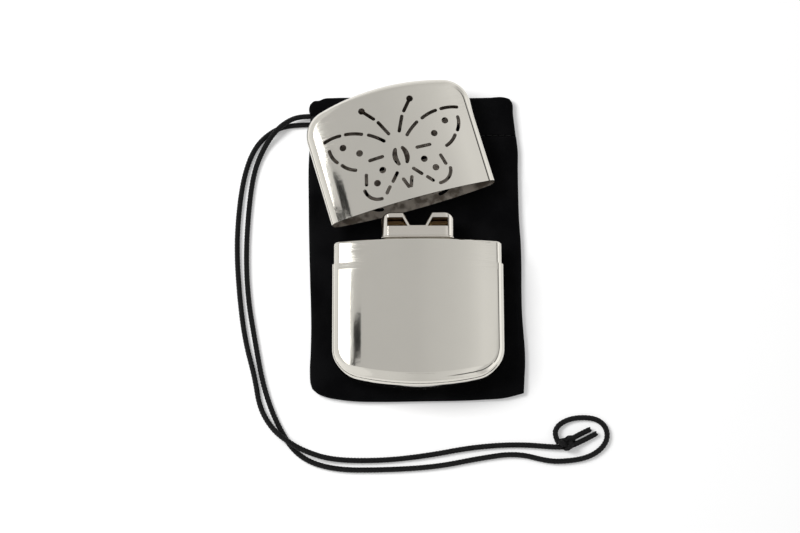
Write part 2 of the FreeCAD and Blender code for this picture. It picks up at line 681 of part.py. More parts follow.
HEM_LOW = "(Sizes.hem_line + Sizes.seam_gap)"
HEM_HIGH = "(Sizes.hem_line + Sizes.hem_depth)"
HEM_LEFT = "(Sizes.hem_shift - Sizes.hem_width / 2)"
HEM_RIGHT = "(Sizes.hem_shift + Sizes.hem_width / 2)"
TUNNEL_HEIGHT = "(Sizes.panel_thickness - 2 * Sizes.hem_cloth)"
BACK_TUNNEL = "Sizes.hem_cloth"
FRONT_TUNNEL = "(Sizes.panel_thickness + Sizes.mouth_gap + Sizes.hem_cloth)"


def box_sketch(body, name, low, high, level):
    """A rectangle between two corners, each given by two expressions, at a level above the surface."""
    sketch = new_sketch(body, name, "XY_Plane")
    sketch.setExpression("AttachmentOffset.Base.z", level)
    corners = [(low[0], low[1]), (high[0], low[1]), (high[0], high[1]), (low[0], high[1])]
    points = [(value(x), value(y)) for x, y in corners]
    sketch.addGeometry([line(points[edge], points[(edge + 1) % 4]) for edge in range(4)], False)
    for edge in range(4):
        join(sketch, edge, (edge + 1) % 4)
    for constraint in (("Horizontal", 0), ("Vertical", 1), ("Horizontal", 2), ("Vertical", 3)):
        sketch.addConstraint(Sketcher.Constraint(*constraint))
    dimension(sketch, "left", low[0], "DistanceX", -1, 1, 0, 1)
    dimension(sketch, "right", high[0], "DistanceX", -1, 1, 1, 2)
    dimension(sketch, "near", low[1], "DistanceY", -1, 1, 0, 1)
    dimension(sketch, "far", high[1], "DistanceY", -1, 1, 2, 1)
    return sketch


def make_hem():
    """The cord's casing: a back and a front sleeve joined at the side seams, the mouth between them."""
    hem = new_body("hem_casing")
    outline = new_sketch(hem, "outline", "XY_Plane")
    rounded_rectangle(outline, "Sizes.hem_width", f"({HEM_HIGH} - {HEM_LOW})", "Sizes.hem_corner",
                      ("Sizes.hem_shift", f"(({HEM_HIGH} + {HEM_LOW}) / 2)"))
    block = pad(hem, "cloth", outline, POUCH_TOP)
    top = value(POUCH_TOP)
    fillet(hem, "soft_edge", block, lambda middle, along: min(abs(middle.z), abs(middle.z - top)) < 1e-6,
           "Sizes.pouch_edge")
    near, far = f"({HEM_LOW} + Sizes.hem_seam)", f"({HEM_HIGH} - Sizes.hem_seam)"
    inner_right = f"({HEM_RIGHT} - Sizes.hem_seam)"
    tunnel_left = f"({HEM_LEFT} - {MARGIN})"
    turn_left = f"({inner_right} - Sizes.hem_join)"
    for name, level in (("back_tunnel", BACK_TUNNEL), ("front_tunnel", FRONT_TUNNEL)):
        tunnel = box_sketch(hem, f"{name}_outline", (tunnel_left, near), (inner_right, far), level)
        cut_out(hem, name, tunnel, TUNNEL_HEIGHT)
    turn = box_sketch(hem, "turn_outline", (turn_left, near), (inner_right, far), BACK_TUNNEL)
    cut_out(hem, "turn", turn, f"({FRONT_TUNNEL} + {TUNNEL_HEIGHT} - {BACK_TUNNEL})")
    mouth_low = (f"({HEM_LEFT} + Sizes.hem_seam)", f"({HEM_LOW} - {MARGIN})")
    mouth_high = (f"({turn_left} - Sizes.hem_cloth)", f"({HEM_HIGH} + {MARGIN})")
    mouth = box_sketch(hem, "mouth_outline", mouth_low, mouth_high, "Sizes.panel_thickness")
    cut_out(hem, "mouth", mouth, "Sizes.mouth_gap")
    return hem


def make_hem_cord():
    """The flattened cord in the casing: along the back sleeve, round in the seam, along the front sleeve."""
    cord = new_body("hem_cord")
    profile = new_sketch(cord, "profile", "XZ_Plane")
    lower = f"({BACK_TUNNEL} + {TUNNEL_HEIGHT} / 2)"
    middle = f"(({BACK_TUNNEL} + {FRONT_TUNNEL} + {TUNNEL_HEIGHT}) / 2)"
    half_gap = f"({middle} - {lower})"
    outside = f"({half_gap} + Sizes.flat_cord_thickness / 2)"
    inside = f"({half_gap} - Sizes.flat_cord_thickness / 2)"
    bend = f"({HEM_RIGHT} - Sizes.hem_seam - Sizes.hem_cloth - {outside})"
    left, bend_x, bend_z = value(HEM_LEFT), value(bend), value(middle)
    big, small = value(outside), value(inside)
    profile.addGeometry([
        line((left, bend_z - big), (bend_x, bend_z - big)),
        arc((bend_x, bend_z), big, -math.pi / 2, math.pi / 2),
        line((bend_x, bend_z + big), (left, bend_z + big)),
        line((left, bend_z + big), (left, bend_z + small)),
        line((left, bend_z + small), (bend_x, bend_z + small)),
        arc((bend_x, bend_z), small, -math.pi / 2, math.pi / 2),
        line((bend_x, bend_z - small), (left, bend_z - small)),
        line((left, bend_z - small), (left, bend_z - big)),
    ], False)
    profile.addConstraint([
        Sketcher.Constraint("Tangent", 0, 2, 1, 1),
        Sketcher.Constraint("Tangent", 1, 2, 2, 1),
        Sketcher.Constraint("Coincident", 2, 2, 3, 1),
        Sketcher.Constraint("Coincident", 3, 2, 4, 1),
        Sketcher.Constraint("Tangent", 4, 2, 5, 2),
        Sketcher.Constraint("Tangent", 5, 1, 6, 1),
        Sketcher.Constraint("Coincident", 6, 2, 7, 1),
        Sketcher.Constraint("Coincident", 7, 2, 0, 1),
        Sketcher.Constraint("Coincident", 1, 3, 5, 3),
        Sketcher.Constraint("Horizontal", 0),
        Sketcher.Constraint("Horizontal", 2),
        Sketcher.Constraint("Vertical", 3),
        Sketcher.Constraint("Vertical", 7),
    ])
    dimension(profile, "left", f"-1 * {HEM_LEFT}", "DistanceX", 0, 1, -1, 1)
    dimension(profile, "bend", bend, "DistanceX", -1, 1, 1, 3)
    dimension(profile, "middle", middle, "DistanceY", -1, 1, 1, 3)
    dimension(profile, "outside", outside, "Radius", 1)
    dimension(profile, "inside", inside, "Radius", 5)
    pad(cord, "band", profile, "Sizes.flat_cord_width", both_ways=True)
    place(cord, up="Sizes.flat_cord_up")
    return cord


def make_pouch():
    low = "(-1 * Sizes.pouch_bottom)"
    back = soft_slab("pouch_back", "Sizes.pouch_width", low, "Sizes.hem_line", "0",
                     "Sizes.panel_thickness", "Sizes.pouch_corner", False)
    front_base = "Sizes.panel_thickness + Sizes.mouth_gap"
    front = soft_slab("pouch_front", "Sizes.pouch_width", low, "Sizes.hem_line", front_base,
                      "Sizes.panel_thickness", "Sizes.pouch_corner", True)
    return [back, front, make_hem(), make_hem_cord()]


# ---------------------------------------------------------------- drawstring


def cord_line(label, points):
    """Straight runs joined by tangent arcs, each arc as large as 0.45 of its shorter run allows."""
    corners = [V(*point) for point in points]
    edges, radii, start = [], [], corners[0]
    for before, here, after in zip(corners, corners[1:], corners[2:]):
        into, away = here - before, after - here
        reach = 0.45 * min(into.Length, away.Length)
        half_turn = into.getAngle(away) / 2
        into.normalize()
        away.normalize()
        first, last = here - into * reach, here + away * reach
        radius = reach / math.tan(half_turn)
        inward = (away - into).normalize()
        middle = here + inward * (radius / math.cos(half_turn) - radius)
        edges += [Part.LineSegment(start, first).toShape(), Part.Arc(first, middle, last).toShape()]
        radii.append(radius)
        start = last
    edges.append(Part.LineSegment(start, corners[-1]).toShape())
    line_wire = Part.Wire(edges)
    print(label, "length", round(line_wire.Length, 1), "radii", [round(radius, 1) for radius in radii])
    return line_wire


def make_tube(label, points):
    """A round cord along its line, as a plain tube."""
    path = cord_line(label, points)
    radius = value(CORD_RADIUS)
    start = path.OrderedEdges[0]
    ring = Part.Wire(Part.makeCircle(radius, start.valueAt(start.FirstParameter),
                                     start.tangentAt(start.FirstParameter)))
    tube = path.makePipeShell([ring], True, False)
    expected = math.pi * radius**2 * path.Length
    assert abs(tube.Volume / expected - 1) < 0.01, f"{label} has the wrong volume"
    return tube


def make_drawstring():
    knot = doc.addObject("Part::Ellipsoid", "cord_knot")
    knot.Placement = FreeCAD.Placement(V(*KNOT_PLACE, 0), FreeCAD.Rotation(V(0, 0, 1), KNOT_TURN))
    knot.setExpression("Placement.Base.z", f"Sizes.knot_height / 2 + {FLOOR} - {CORD_RADIUS}")
    knot.setExpression("Radius1", "Sizes.knot_height / 2")
    knot.setExpression("Radius2", "Sizes.knot_length / 2")
    knot.setExpression("Radius3", "Sizes.knot_width / 2")
    strands = []
    for label, points in CORD_ROUTES.items():
        tube = doc.addObject("Part::Feature", f"{label}_tube")
        tube.Shape = make_tube(label, points)
        strand = doc.addObject("Part::Cut", label)
        strand.Base = tube
        strand.Tool = knot
        strands.append(strand)
    doc.recompute()
    return strands + [knot]


PARTS = make_tank() + make_burner() + make_cap() + make_pouch() + make_drawstring()
doc.recompute()

for item in doc.Objects:
    if "Invalid" in item.State or "Error" in item.State:
        raise RuntimeError(f"{item.Label} did not compute: {item.State}")
for item in PARTS:
    if item.Shape.isNull() or not item.Shape.isValid() or not item.Shape.Solids:
        raise RuntimeError(f"{item.Label} has no valid solid")

os.makedirs("parts", exist_ok=True)
for item in PARTS:
    item.Shape.exportStep(f"parts/{item.Label}.step")
    print(item.Label, len(item.Shape.Solids), round(item.Shape.Volume, 1))
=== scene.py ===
"""Looks of a catalytic hand warmer that lies open on its velvet drawstring pouch.

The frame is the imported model's: +X to the right, +Y away from the viewer and +Z up, with the table at z = 0.
Outlines, routes and the sizes of pieces and patterns are in millimetres, and a value times MM is in metres.
The studio's sizes and the frame's boxes are in metres.
"""

from __future__ import annotations

import logging
import math
from dataclasses import dataclass, field
from enum import Enum
from typing import Callable, Sequence, Union

import bpy
import numpy as np
from mathutils import Matrix, Vector

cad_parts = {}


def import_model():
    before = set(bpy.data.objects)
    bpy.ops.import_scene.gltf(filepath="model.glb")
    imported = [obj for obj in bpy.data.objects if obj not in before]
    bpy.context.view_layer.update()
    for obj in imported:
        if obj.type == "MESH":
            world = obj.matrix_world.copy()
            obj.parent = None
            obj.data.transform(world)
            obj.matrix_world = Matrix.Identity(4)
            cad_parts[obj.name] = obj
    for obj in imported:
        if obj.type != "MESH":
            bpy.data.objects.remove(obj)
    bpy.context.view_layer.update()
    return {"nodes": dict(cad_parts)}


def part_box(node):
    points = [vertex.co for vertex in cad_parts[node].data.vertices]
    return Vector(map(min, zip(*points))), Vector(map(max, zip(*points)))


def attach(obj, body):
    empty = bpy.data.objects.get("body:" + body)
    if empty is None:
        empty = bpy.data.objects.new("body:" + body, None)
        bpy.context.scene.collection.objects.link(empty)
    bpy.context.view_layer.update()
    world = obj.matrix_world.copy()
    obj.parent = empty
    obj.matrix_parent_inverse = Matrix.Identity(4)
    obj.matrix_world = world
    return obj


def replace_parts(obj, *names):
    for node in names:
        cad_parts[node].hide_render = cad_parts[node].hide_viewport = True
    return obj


LOG = logging.getLogger("hand_warmer")
MM = 0.001
TURN = 2 * math.pi

Colour = tuple[float, float, float]
Point = tuple[float, float, float]
Step = tuple[float, float]
Wave = tuple[float, float, float]
Points = np.ndarray


class Side(Enum):
    """The two sides of the pouch."""

    BACK = "back"
    FRONT = "front"


class Lay(Enum):
    """The two ways that a flat pad can face."""

    ON_TABLE = "its thickness is along Z"
    ACROSS_NECK = "its thickness is along Y"


# ---------------------------------------------------------------------------------------------------------
# Shader expressions
# ---------------------------------------------------------------------------------------------------------


def math_operator(operation: str, swapped: bool = False) -> Callable[["Wire", "Term"], "Wire"]:
    """An operator of two terms that adds a Math node.

    Args:
        operation: The node's operation.
        swapped: Whether the wire is the second term, as in 1 - mask.

    Returns:
        The operator, as a method of a wire.
    """

    def join(wire: "Wire", other: "Term") -> "Wire":
        """The wire and the other term, joined by the operation."""
        terms = (other, wire) if swapped else (wire, other)
        return wire.board.math(operation, *terms)

    return join


class Wire:
    """An output socket; arithmetic on it adds Math nodes."""

    def __init__(self, board: "Board", socket: bpy.types.NodeSocket) -> None:
        """Keeps the socket and the board that it is on."""
        self.board = board
        self.socket = socket

    __add__ = math_operator("ADD")
    __radd__ = math_operator("ADD", swapped=True)
    __sub__ = math_operator("SUBTRACT")
    __rsub__ = math_operator("SUBTRACT", swapped=True)
    __mul__ = math_operator("MULTIPLY")
    __rmul__ = math_operator("MULTIPLY", swapped=True)
    __truediv__ = math_operator("DIVIDE")
    smaller = math_operator("MINIMUM")
    larger = math_operator("MAXIMUM")

    def size(self) -> "Wire":
        """The value without its sign."""
        return self.board.math("ABSOLUTE", self)

    def sine(self) -> "Wire":
        """The sine of the value, in radians."""
        return self.board.math("SINE", self)

    def root(self) -> "Wire":
        """The square root of the value."""
        return self.board.math("SQRT", self)

    def rise(self, low: float, high: float) -> "Wire":
        """Smooth step from 0 at low to 1 at high, or falling where low is the larger.

        Args:
            low: Value at which the result is 0.
            high: Value at which the result is 1.

        Returns:
            The step, held between 0 and 1.
        """
        ends = {"Value": self, "From Min": low, "From Max": high}
        return self.board.node("MapRange", {"interpolation_type": "SMOOTHSTEP"}, ends)

    def other(self, output: Union[int, str]) -> "Wire":
        """Another output of the same node."""
        return Wire(self.board, self.socket.node.outputs[output])


Term = Union[Wire, float]


class Board:
    """One node tree, whose nodes are added as expressions."""

    def __init__(self, tree: bpy.types.NodeTree) -> None:
        """Starts with an empty tree."""
        self.tree = tree
        self.tree.nodes.clear()

    def node(
        self,
        kind: str,
        settings: dict[str, object] | None = None,
        inputs: dict[Union[int, str], object] | None = None,
        output: Union[int, str] = 0,
    ) -> Wire:
        """Adds one node.

        Args:
            kind: Node type without its ShaderNode prefix.
            settings: Properties, set first; "stops" gives a ramp's (position, colour) pairs.
            inputs: Values or wires of the sockets, by name or number.
            output: Output that is returned.

        Returns:
            The wire of that output.
        """
        made = self.tree.nodes.new("ShaderNode" + kind)
        for name, value in (settings or {}).items():
            if name == "stops":
                self._set_stops(made.color_ramp, value)
            else:
                setattr(made, name, value)
        for name, value in (inputs or {}).items():
            socket = made.inputs[name]
            if isinstance(value, Wire):
                self.tree.links.new(value.socket, socket)
            elif socket.type == "RGBA":
                socket.default_value = (*value[:3], 1.0)
            else:
                socket.default_value = value
        return Wire(self, made.outputs[output] if made.outputs else None)

    @staticmethod
    def _set_stops(ramp: bpy.types.ColorRamp, stops: Sequence[tuple[float, Colour]]) -> None:
        """Gives a ramp its stops.

        Args:
            ramp: The ramp, which starts with two stops.
            stops: Position and colour of each stop, in order.
        """
        while len(ramp.elements) < len(stops):
            ramp.elements.new(0.5)
        for element, (position, colour) in zip(ramp.elements, stops):
            element.position = position
            element.color = (*colour, 1.0)

    def math(self, operation: str, *terms: Term) -> Wire:
        """Adds a Math node on one or two values."""
        return self.node("Math", {"operation": operation}, dict(enumerate(terms)))

    def mix(self, share: Term, first: object, second: object) -> Wire:
        """The first colour where the share is 0 and the second where it is 1."""
        return self.node("Mix", {"data_type": "RGBA"}, {0: share, 6: first, 7: second}, 2)

    def shade(self, colour: object, level: Term) -> Wire:
        """A colour times a level."""
        return self.node("VectorMath", {"operation": "SCALE"}, {0: colour, "Scale": level})

    def stretch(self, vector: Wire, factors: Point) -> Wire:
        """A vector with each component times its own factor."""
        return self.node("VectorMath", {"operation": "MULTIPLY"}, {0: vector, 1: factors})

    def split(self, vector: Wire) -> tuple[Wire, Wire, Wire]:
        """The three components of a vector."""
        first = self.node("SeparateXYZ", None, {0: vector})
        return first, first.other(1), first.other(2)

    def place(self, turn: float = 0.0) -> Wire:
        """The place on the piece in millimetres, turned about Z.

        Args:
            turn: Angle by which the pattern is turned back, in radians.

        Returns:
            The place as a vector.
        """
        spot = self.node("TexCoord", None, None, "Object")
        spot = self.node("Mapping", None, {"Vector": spot, "Rotation": (0.0, 0.0, turn)})
        return self.stretch(spot, (1 / MM, 1 / MM, 1 / MM))

    def noise(self, vector: Wire, per_unit: float, detail: float = 2.0, rough: float = 0.5) -> Wire:
        """Noise from 0 to 1.

        Args:
            vector: Place where it is read.
            per_unit: Features per unit of the place.
            detail: Octaves beyond the first.
            rough: Share that each octave keeps.

        Returns:
            The noise's value.
        """
        inputs = {"Vector": vector, "Scale": per_unit, "Detail": detail, "Roughness": rough}
        return self.node("TexNoise", None, inputs)

    def facing_out(self, centre: Point) -> Wire:
        """How far the surface faces away from a centre: above 0 outside a hollow form, below 0 inside it.

        Args:
            centre: Middle of the form in metres.

        Returns:
            The part of the way from the centre, in millimetres, that lies along the surface's normal.
        """
        middle = tuple(value / MM for value in centre)
        way = self.node("VectorMath", {"operation": "SUBTRACT"}, {0: self.place(), 1: middle})
        normal = self.node("TexCoord", None, None, "Normal")
        return self.node("VectorMath", {"operation": "DOT_PRODUCT"}, {0: way, 1: normal}, "Value")

    def bump(self, height: Wire, depth: float, under: Wire | None = None) -> Wire:
        """A normal from a height.

        Args:
            height: Height, in parts of the depth.
            depth: Depth in metres for a height of 1.
            under: Normal that this one is laid over, where there is one.

        Returns:
            The normal.
        """
        inputs = {"Height": height, "Distance": depth, "Strength": 1.0}
        if under is not None:
            inputs["Normal"] = under
        return self.node("Bump", None, inputs)

    def surface(self, inputs: dict[Union[int, str], object]) -> Wire:
        """The general surface shader, with these inputs."""
        return self.node("BsdfPrincipled", None, inputs)

    def finish(self, shader: Wire) -> None:
        """Joins the shader to the tree's output."""
        self.node("OutputMaterial", None, {"Surface": shader})


# ---------------------------------------------------------------------------------------------------------
# Finishes
# ---------------------------------------------------------------------------------------------------------


@dataclass(frozen=True)
class Finish:
    """A surface finish that can be laid on any number of pieces."""

    name: str

    def shader(self, board: Board) -> Wire:
        """The finish's shader; each finish has its own."""
        raise NotImplementedError

    def lay_on(self, *pieces: bpy.types.Object) -> None:
        """Makes the material and gives it to the pieces.

        Args:
            pieces: New pieces or nodes of the frame.
        """
        material = bpy.data.materials.new(self.name)
        material.use_nodes = True
        board = Board(material.node_tree)
        board.finish(self.shader(board))
        for piece in pieces:
            if not piece.material_slots:
                piece.data.materials.append(material)
            for slot in piece.material_slots:
                slot.material = material


@dataclass(frozen=True)
class BrightPlate(Finish):
    """Polished nickel plate on drawn sheet, with fine rubbing marks, and dull and brownish inside.

    The sheet's slight forms are slopes of its normal: it leans across the piece, flares beyond the lip's
    line, and falls away outside the circle of the rolled edge.
    """

    centre: Point
    colour: Colour = (0.66, 0.636, 0.578)
    unpolished: Colour = (0.52, 0.47, 0.41)
    stain: Colour = (0.20, 0.17, 0.14)
    roughness: float = 0.05
    inside_roughness: float = 0.38
    haze: float = 0.04
    rub_haze: float = 0.16
    turn: float = 0.0
    rub_from: float = -22.0
    rub_full: float = -9.0
    lean: float = 0.0
    lip_from: float = 1e3
    lip_slope: float = 0.0
    roll_centre: tuple[float, float] = (0.0, 0.0)
    roll_from: float = 1e3
    roll_slope: float = 0.17
    wall: float = 0.5
    inside_metal: float = 0.65
    rub_lines: Point = (0.06, 3.4, 0.06)
    rub_edge: Step = (0.42, 0.68)
    wipe_lines: Point = (0.5, 0.06, 0.3)
    wipe_edge: Step = (0.5, 0.8)
    clouds_per_mm: float = 0.07
    blotches_per_mm: float = 0.22
    blotch_edge: Step = (0.45, 0.65)
    peel_per_mm: float = 0.55
    specks_per_mm: float = 2.4
    peel_depth: float = 0.003 * MM
    rub_depth: float = 0.003 * MM

    def shader(self, board: Board) -> Wire:
        """Metal whose gloss is broken by marks that run across the piece where it is handled or slid on.

        Args:
            board: Board of the material.

        Returns:
            The shader.
        """
        spot = board.place(self.turn)
        across, along, _ = board.split(spot)
        rubbed = along.rise(self.rub_from, self.rub_full)
        lines = board.noise(board.stretch(spot, self.rub_lines), 1.0, 2.0).rise(*self.rub_edge)
        specks = board.noise(spot, self.specks_per_mm, 2.0)
        clouds = board.noise(spot, self.clouds_per_mm, 3.0)
        wiped = board.noise(board.stretch(spot, self.wipe_lines), 1.0, 3.0).rise(*self.wipe_edge)
        inside = board.facing_out(self.centre).rise(self.wall, -self.wall)
        blotches = board.noise(spot, self.blotches_per_mm, 4.0).rise(*self.blotch_edge)
        dull = board.mix(blotches, self.unpolished, self.stain)
        colour = board.mix(inside, board.shade(self.colour, 0.97 + 0.05 * clouds), dull)
        worn = self.haze * wiped + self.rub_haze * rubbed * lines
        form = across * self.lean + (along - self.lip_from).larger(0.0) * self.lip_slope
        aside, below = across - self.roll_centre[0], along - self.roll_centre[1]
        rolled = ((aside * aside + below * below).root() - self.roll_from).larger(0.0)
        form = form - rolled * self.roll_slope
        peel = board.noise(spot, self.peel_per_mm, 1.0) + 0.25 * specks
        under = board.bump(peel, self.peel_depth, board.bump(form, MM))
        return board.surface(
            {
                "Base Color": colour,
                "Metallic": 1.0 - (1.0 - self.inside_metal) * inside,
                "Roughness": self.roughness + worn + self.inside_roughness * inside,
                "Normal": board.bump(lines * rubbed, self.rub_depth, under),
            }
        )


@dataclass(frozen=True)
class DullPlate(Finish):
    """Plain plate that was only tumbled: grey, brushed across and a little stained."""

    colour: Colour = (0.52, 0.49, 0.44)
    roughness: float = 0.3
    grain_lines: Point = (0.3, 7.0, 1.2)
    stains_per_mm: float = 0.35
    stain_edge: Step = (0.4, 0.75)
    stain_level: float = 0.7
    grain_depth: float = 0.006 * MM

    def shader(self, board: Board) -> Wire:
        """Brushed metal.

        Args:
            board: Board of the material.

        Returns:
            The shader.
        """
        spot = board.place()
        grain = board.noise(board.stretch(spot, self.grain_lines), 1.0, 4.0)
        stain = board.noise(spot, self.stains_per_mm, 4.0).rise(*self.stain_edge)
        colour = board.mix(stain, self.colour, board.shade(self.colour, self.stain_level))
        return board.surface(
            {
                "Base Color": colour,
                "Metallic": 1.0,
                "Roughness": self.roughness + 0.15 * grain,
                "Normal": board.bump(grain, self.grain_depth),
            }
        )


@dataclass(frozen=True)
class HeatTintedPlate(Finish):
    """Bright plate that the glowing mat has turned straw and brown on its inner faces."""

    low: Point
    high: Point
    corner: float = 3.95
    rim: float = 1.0
    notch_floor: float = 5.7
    notch_half: float = 2.65
    notch_lean: float = 0.535
    outside: Colour = (0.68, 0.65, 0.60)
    straw: Colour = (0.60, 0.46, 0.25)
    brown: Colour = (0.16, 0.09, 0.05)
    brown_from: float = 1.4
    brown_full: float = 0.3
    # Painted shade: the height of a thin dark line drawn across the plate where a groove would be shaded. The
    # default puts it far off the piece, so that there is none.
    seam: float = 1e3
    shade_line_half: float = 0.12
    shade_line_blur: float = 0.2
    sheet: float = 0.4
    sheet_edge: Step = (0.4, 0.9)
    band_lines: Point = (0.12, 0.9, 0.3)
    marks_per_mm: float = 1.3
    mark_depth: float = 0.003 * MM
    roughness: float = 0.1

    def shader(self, board: Board) -> Wire:
        """Metal whose colour turns to heat tints about half a sheet below the outer faces.

        Args:
            board: Board of the material.

        Returns:
            The shader.
        """
        spot = board.place()
        place = board.split(spot)
        inside = self._depth(place).rise(*(share * self.sheet for share in self.sheet_edge))
        bands = board.noise(board.stretch(spot, self.band_lines), 1.0, 3.0)
        top = self.high[1] / MM
        scorched = (place[1] + 0.5 * bands).rise(top - self.brown_from, top - self.brown_full)
        burnt = board.mix(scorched, self.straw, self.brown)
        faint = board.mix(0.12 * bands, self.outside, self.straw)
        # Painted shade: a thin dark line of half the brown across the plate at the height of 'seam', blurred
        # at its sides.
        seam = (place[1] - self.seam).size().rise(self.shade_line_half + self.shade_line_blur, self.shade_line_half)
        faint = board.mix(seam, faint, board.shade(self.brown, 0.5))
        marks = board.noise(spot, self.marks_per_mm, 4.0)
        return board.surface(
            {
                "Base Color": board.mix(inside, faint, burnt),
                "Metallic": 1.0,
                "Roughness": self.roughness + 0.08 * marks + 0.2 * inside,
                "Normal": board.bump(marks, self.mark_depth),
            }
        )

    def _depth(self, spot: tuple[Wire, Wire, Wire]) -> Wire:
        """Depth below the outer faces of the oblong form and of the notch across its top.

        Args:
            spot: Place across, up and through the form, in millimetres.

        Returns:
            The depth in millimetres, which stops at the radius of the rims.
        """

        def rounded(first: Wire, second: Wire, radius: float) -> Wire:
            """Depth below two faces that meet in a rounding: the radius less the way to the arc's centre."""
            one, two = (radius - first).larger(0.0), (radius - second).larger(0.0)
            return radius - (one * one + two * two).root()

        x, y, z = spot
        deep_x = (x - self.low[0] / MM).smaller(self.high[0] / MM - x)
        deep_z = (z - self.low[2] / MM).smaller(self.high[2] / MM - z)
        deep_y = self.high[1] / MM - y
        plan, front = rounded(deep_x, deep_z, self.corner), rounded(deep_x, deep_y, self.corner)
        form = rounded(plan, front, self.rim)
        above = y - (self.high[1] / MM - self.notch_floor)
        beside = (x - (self.low[0] + self.high[0]) / 2 / MM).size() - self.notch_half
        steep = 1 / math.hypot(1.0, self.notch_lean)
        return form.smaller(((beside - above * self.notch_lean) * steep).larger(0.0 - above))


@dataclass(frozen=True)
class GauzeWire(Finish):
    """Drawn wire that heat has browned unevenly."""

    colour: Colour = (0.36, 0.30, 0.23)
    bright: Colour = (0.60, 0.52, 0.40)
    patches_per_mm: float = 0.28
    patch_edge: Step = (0.4, 0.65)
    drawn_per_mm: float = 6.0
    drawn_depth: float = 0.004 * MM

    def shader(self, board: Board) -> Wire:
        """Metal with patches of heat brown.

        Args:
            board: Board of the material.

        Returns:
            The shader.
        """
        spot = board.place()
        patches = board.noise(spot, self.patches_per_mm, 3.0).rise(*self.patch_edge)
        drawn = board.noise(spot, self.drawn_per_mm, 2.0)
        return board.surface(
            {
                "Base Color": board.mix(patches, self.bright, self.colour),
                "Metallic": 0.9,
                "Roughness": 0.32 + 0.2 * drawn,
                "Normal": board.bump(drawn, self.drawn_depth),
            }
        )


@dataclass(frozen=True)
class Fibres(Finish):
    """Matted fibres: glass mat, felt or cotton."""

    pale: Colour
    dark: Colour
    depth: float = 0.08 * MM
    blotches_per_mm: float = 0.3
    blotch_edge: Step = (0.35, 0.7)
    hair_lines: tuple[Point, Point] = ((0.6, 4.0, 7.0), (7.0, 4.0, 0.6))

    def shader(self, board: Board) -> Wire:
        """Soft matt fibres in crossing directions, with larger blotches of tone.

        Args:
            board: Board of the material.

        Returns:
            The shader.
        """
        spot = board.place()
        ways = [board.stretch(spot, lines) for lines in self.hair_lines]
        one_way, other_way = (board.noise(way, 1.0, 4.0, 0.6) for way in ways)
        hairs = one_way.larger(other_way)
        blotches = board.noise(spot, self.blotches_per_mm, 3.0).rise(*self.blotch_edge)
        tone = 0.6 * blotches + 0.4 * hairs
        return board.surface(
            {
                "Base Color": board.mix(tone, self.pale, self.dark),
                "Roughness": 0.95,
                "Specular IOR Level": 0.2,
                "Sheen Weight": 0.2,
                "Normal": board.bump(hairs, self.depth),
            }
        )


@dataclass(frozen=True)
class Velvet(Finish):
    """Black short-pile velvet, whose nap is brushed lighter and darker in soft patches."""

    deep: Colour = (0.0022, 0.0022, 0.0025)
    brushed: Colour = (0.006, 0.006, 0.0065)
    pile_per_mm: float = 5.0
    pile_depth: float = 0.10 * MM
    tufts_per_mm: float = 1.6
    tuft_shape: Point = (1.0, 0.55, 1.0)
    nap_per_mm: float = 0.06
    nap_edge: Step = (0.35, 0.7)

    def shader(self, board: Board) -> Wire:
        """Near-black cloth with a pile too fine to count and a faint sheen at the edges.

        Args:
            board: Board of the material.

        Returns:
            The shader.
        """
        spot = board.place()
        pile = board.noise(spot, self.pile_per_mm, 3.0, 0.7)
        tufts = board.noise(board.stretch(spot, self.tuft_shape), self.tufts_per_mm, 2.0)
        nap = board.noise(spot, self.nap_per_mm, 3.0).rise(*self.nap_edge)
        colour = board.mix(nap * (0.4 + 0.6 * pile), self.deep, self.brushed)
        return board.surface(
            {
                "Base Color": colour,
                "Roughness": 0.95,
                "Specular IOR Level": 0.05,
                "Sheen Weight": 0.05,
                "Sheen Roughness": 0.35,
                "Sheen Tint": (0.75, 0.78, 0.85),
                "Normal": board.bump(0.6 * pile + 0.4 * tufts, self.pile_depth),
            }
        )


@dataclass(frozen=True)
class BlackThread(Finish):
    """Twisted black yarn, read along and across each strand by its own UV map."""

    deep: Colour = (0.0015, 0.0015, 0.0017)
    worn: Colour = (0.010, 0.010, 0.0105)
    twist: float = 1.4
    filaments: float = 4.0
    fuzz_per_mm: float = 9.0
    wear_per_mm: float = 0.35
    wear_edge: Step = (0.4, 0.75)
    depth: float = 0.09 * MM

    def shader(self, board: Board) -> Wire:
        """Slanted filaments: a sine of the length along the strand plus a share of the way round it.

        Args:
            board: Board of the material.

        Returns:
            The shader.
        """
        along, across, _ = board.split(board.node("UVMap", {"uv_map": StrandMap.NAME}))
        ridges = ((along * self.twist + across * self.filaments) * TURN).sine() * 0.5 + 0.5
        fuzz = board.noise(board.place(), self.fuzz_per_mm, 3.0, 0.7)
        worn = board.noise(board.place(), self.wear_per_mm, 3.0).rise(*self.wear_edge) * fuzz
        return board.surface(
            {
                "Base Color": board.mix(0.5 * worn + 0.4 * ridges, self.deep, self.worn),
                "Roughness": 0.5 + 0.25 * fuzz,
                "Specular IOR Level": 0.22,
                "Sheen Weight": 0.02,
                "Sheen Roughness": 0.4,
                "Normal": board.bump(0.7 * ridges + 0.3 * fuzz, self.depth),
            }
        )


@dataclass(frozen=True)
class TableTop(Finish):
    """Matt white table that stays white to the eye and to mirrors, and still takes shadows."""

    white: Colour = (0.86, 0.86, 0.86)
    own_light: float = 0.27
    clouds_per_mm: float = 0.02

    def shader(self, board: Board) -> Wire:
        """White paint plus a little light of its own for the rays that look at it.

        Args:
            board: Board of the material.

        Returns:
            The shader.
        """
        clouds = board.noise(board.place(), self.clouds_per_mm, 2.0)
        colour = board.shade(self.white, 0.995 + 0.01 * clouds)
        paint = board.node("BsdfDiffuse", None, {"Color": colour})
        strength = looking_rays(board) * self.own_light
        glow = board.node("Emission", None, {"Color": (1.0, 1.0, 1.0), "Strength": strength})
        return board.node("AddShader", None, {0: paint, 1: glow})


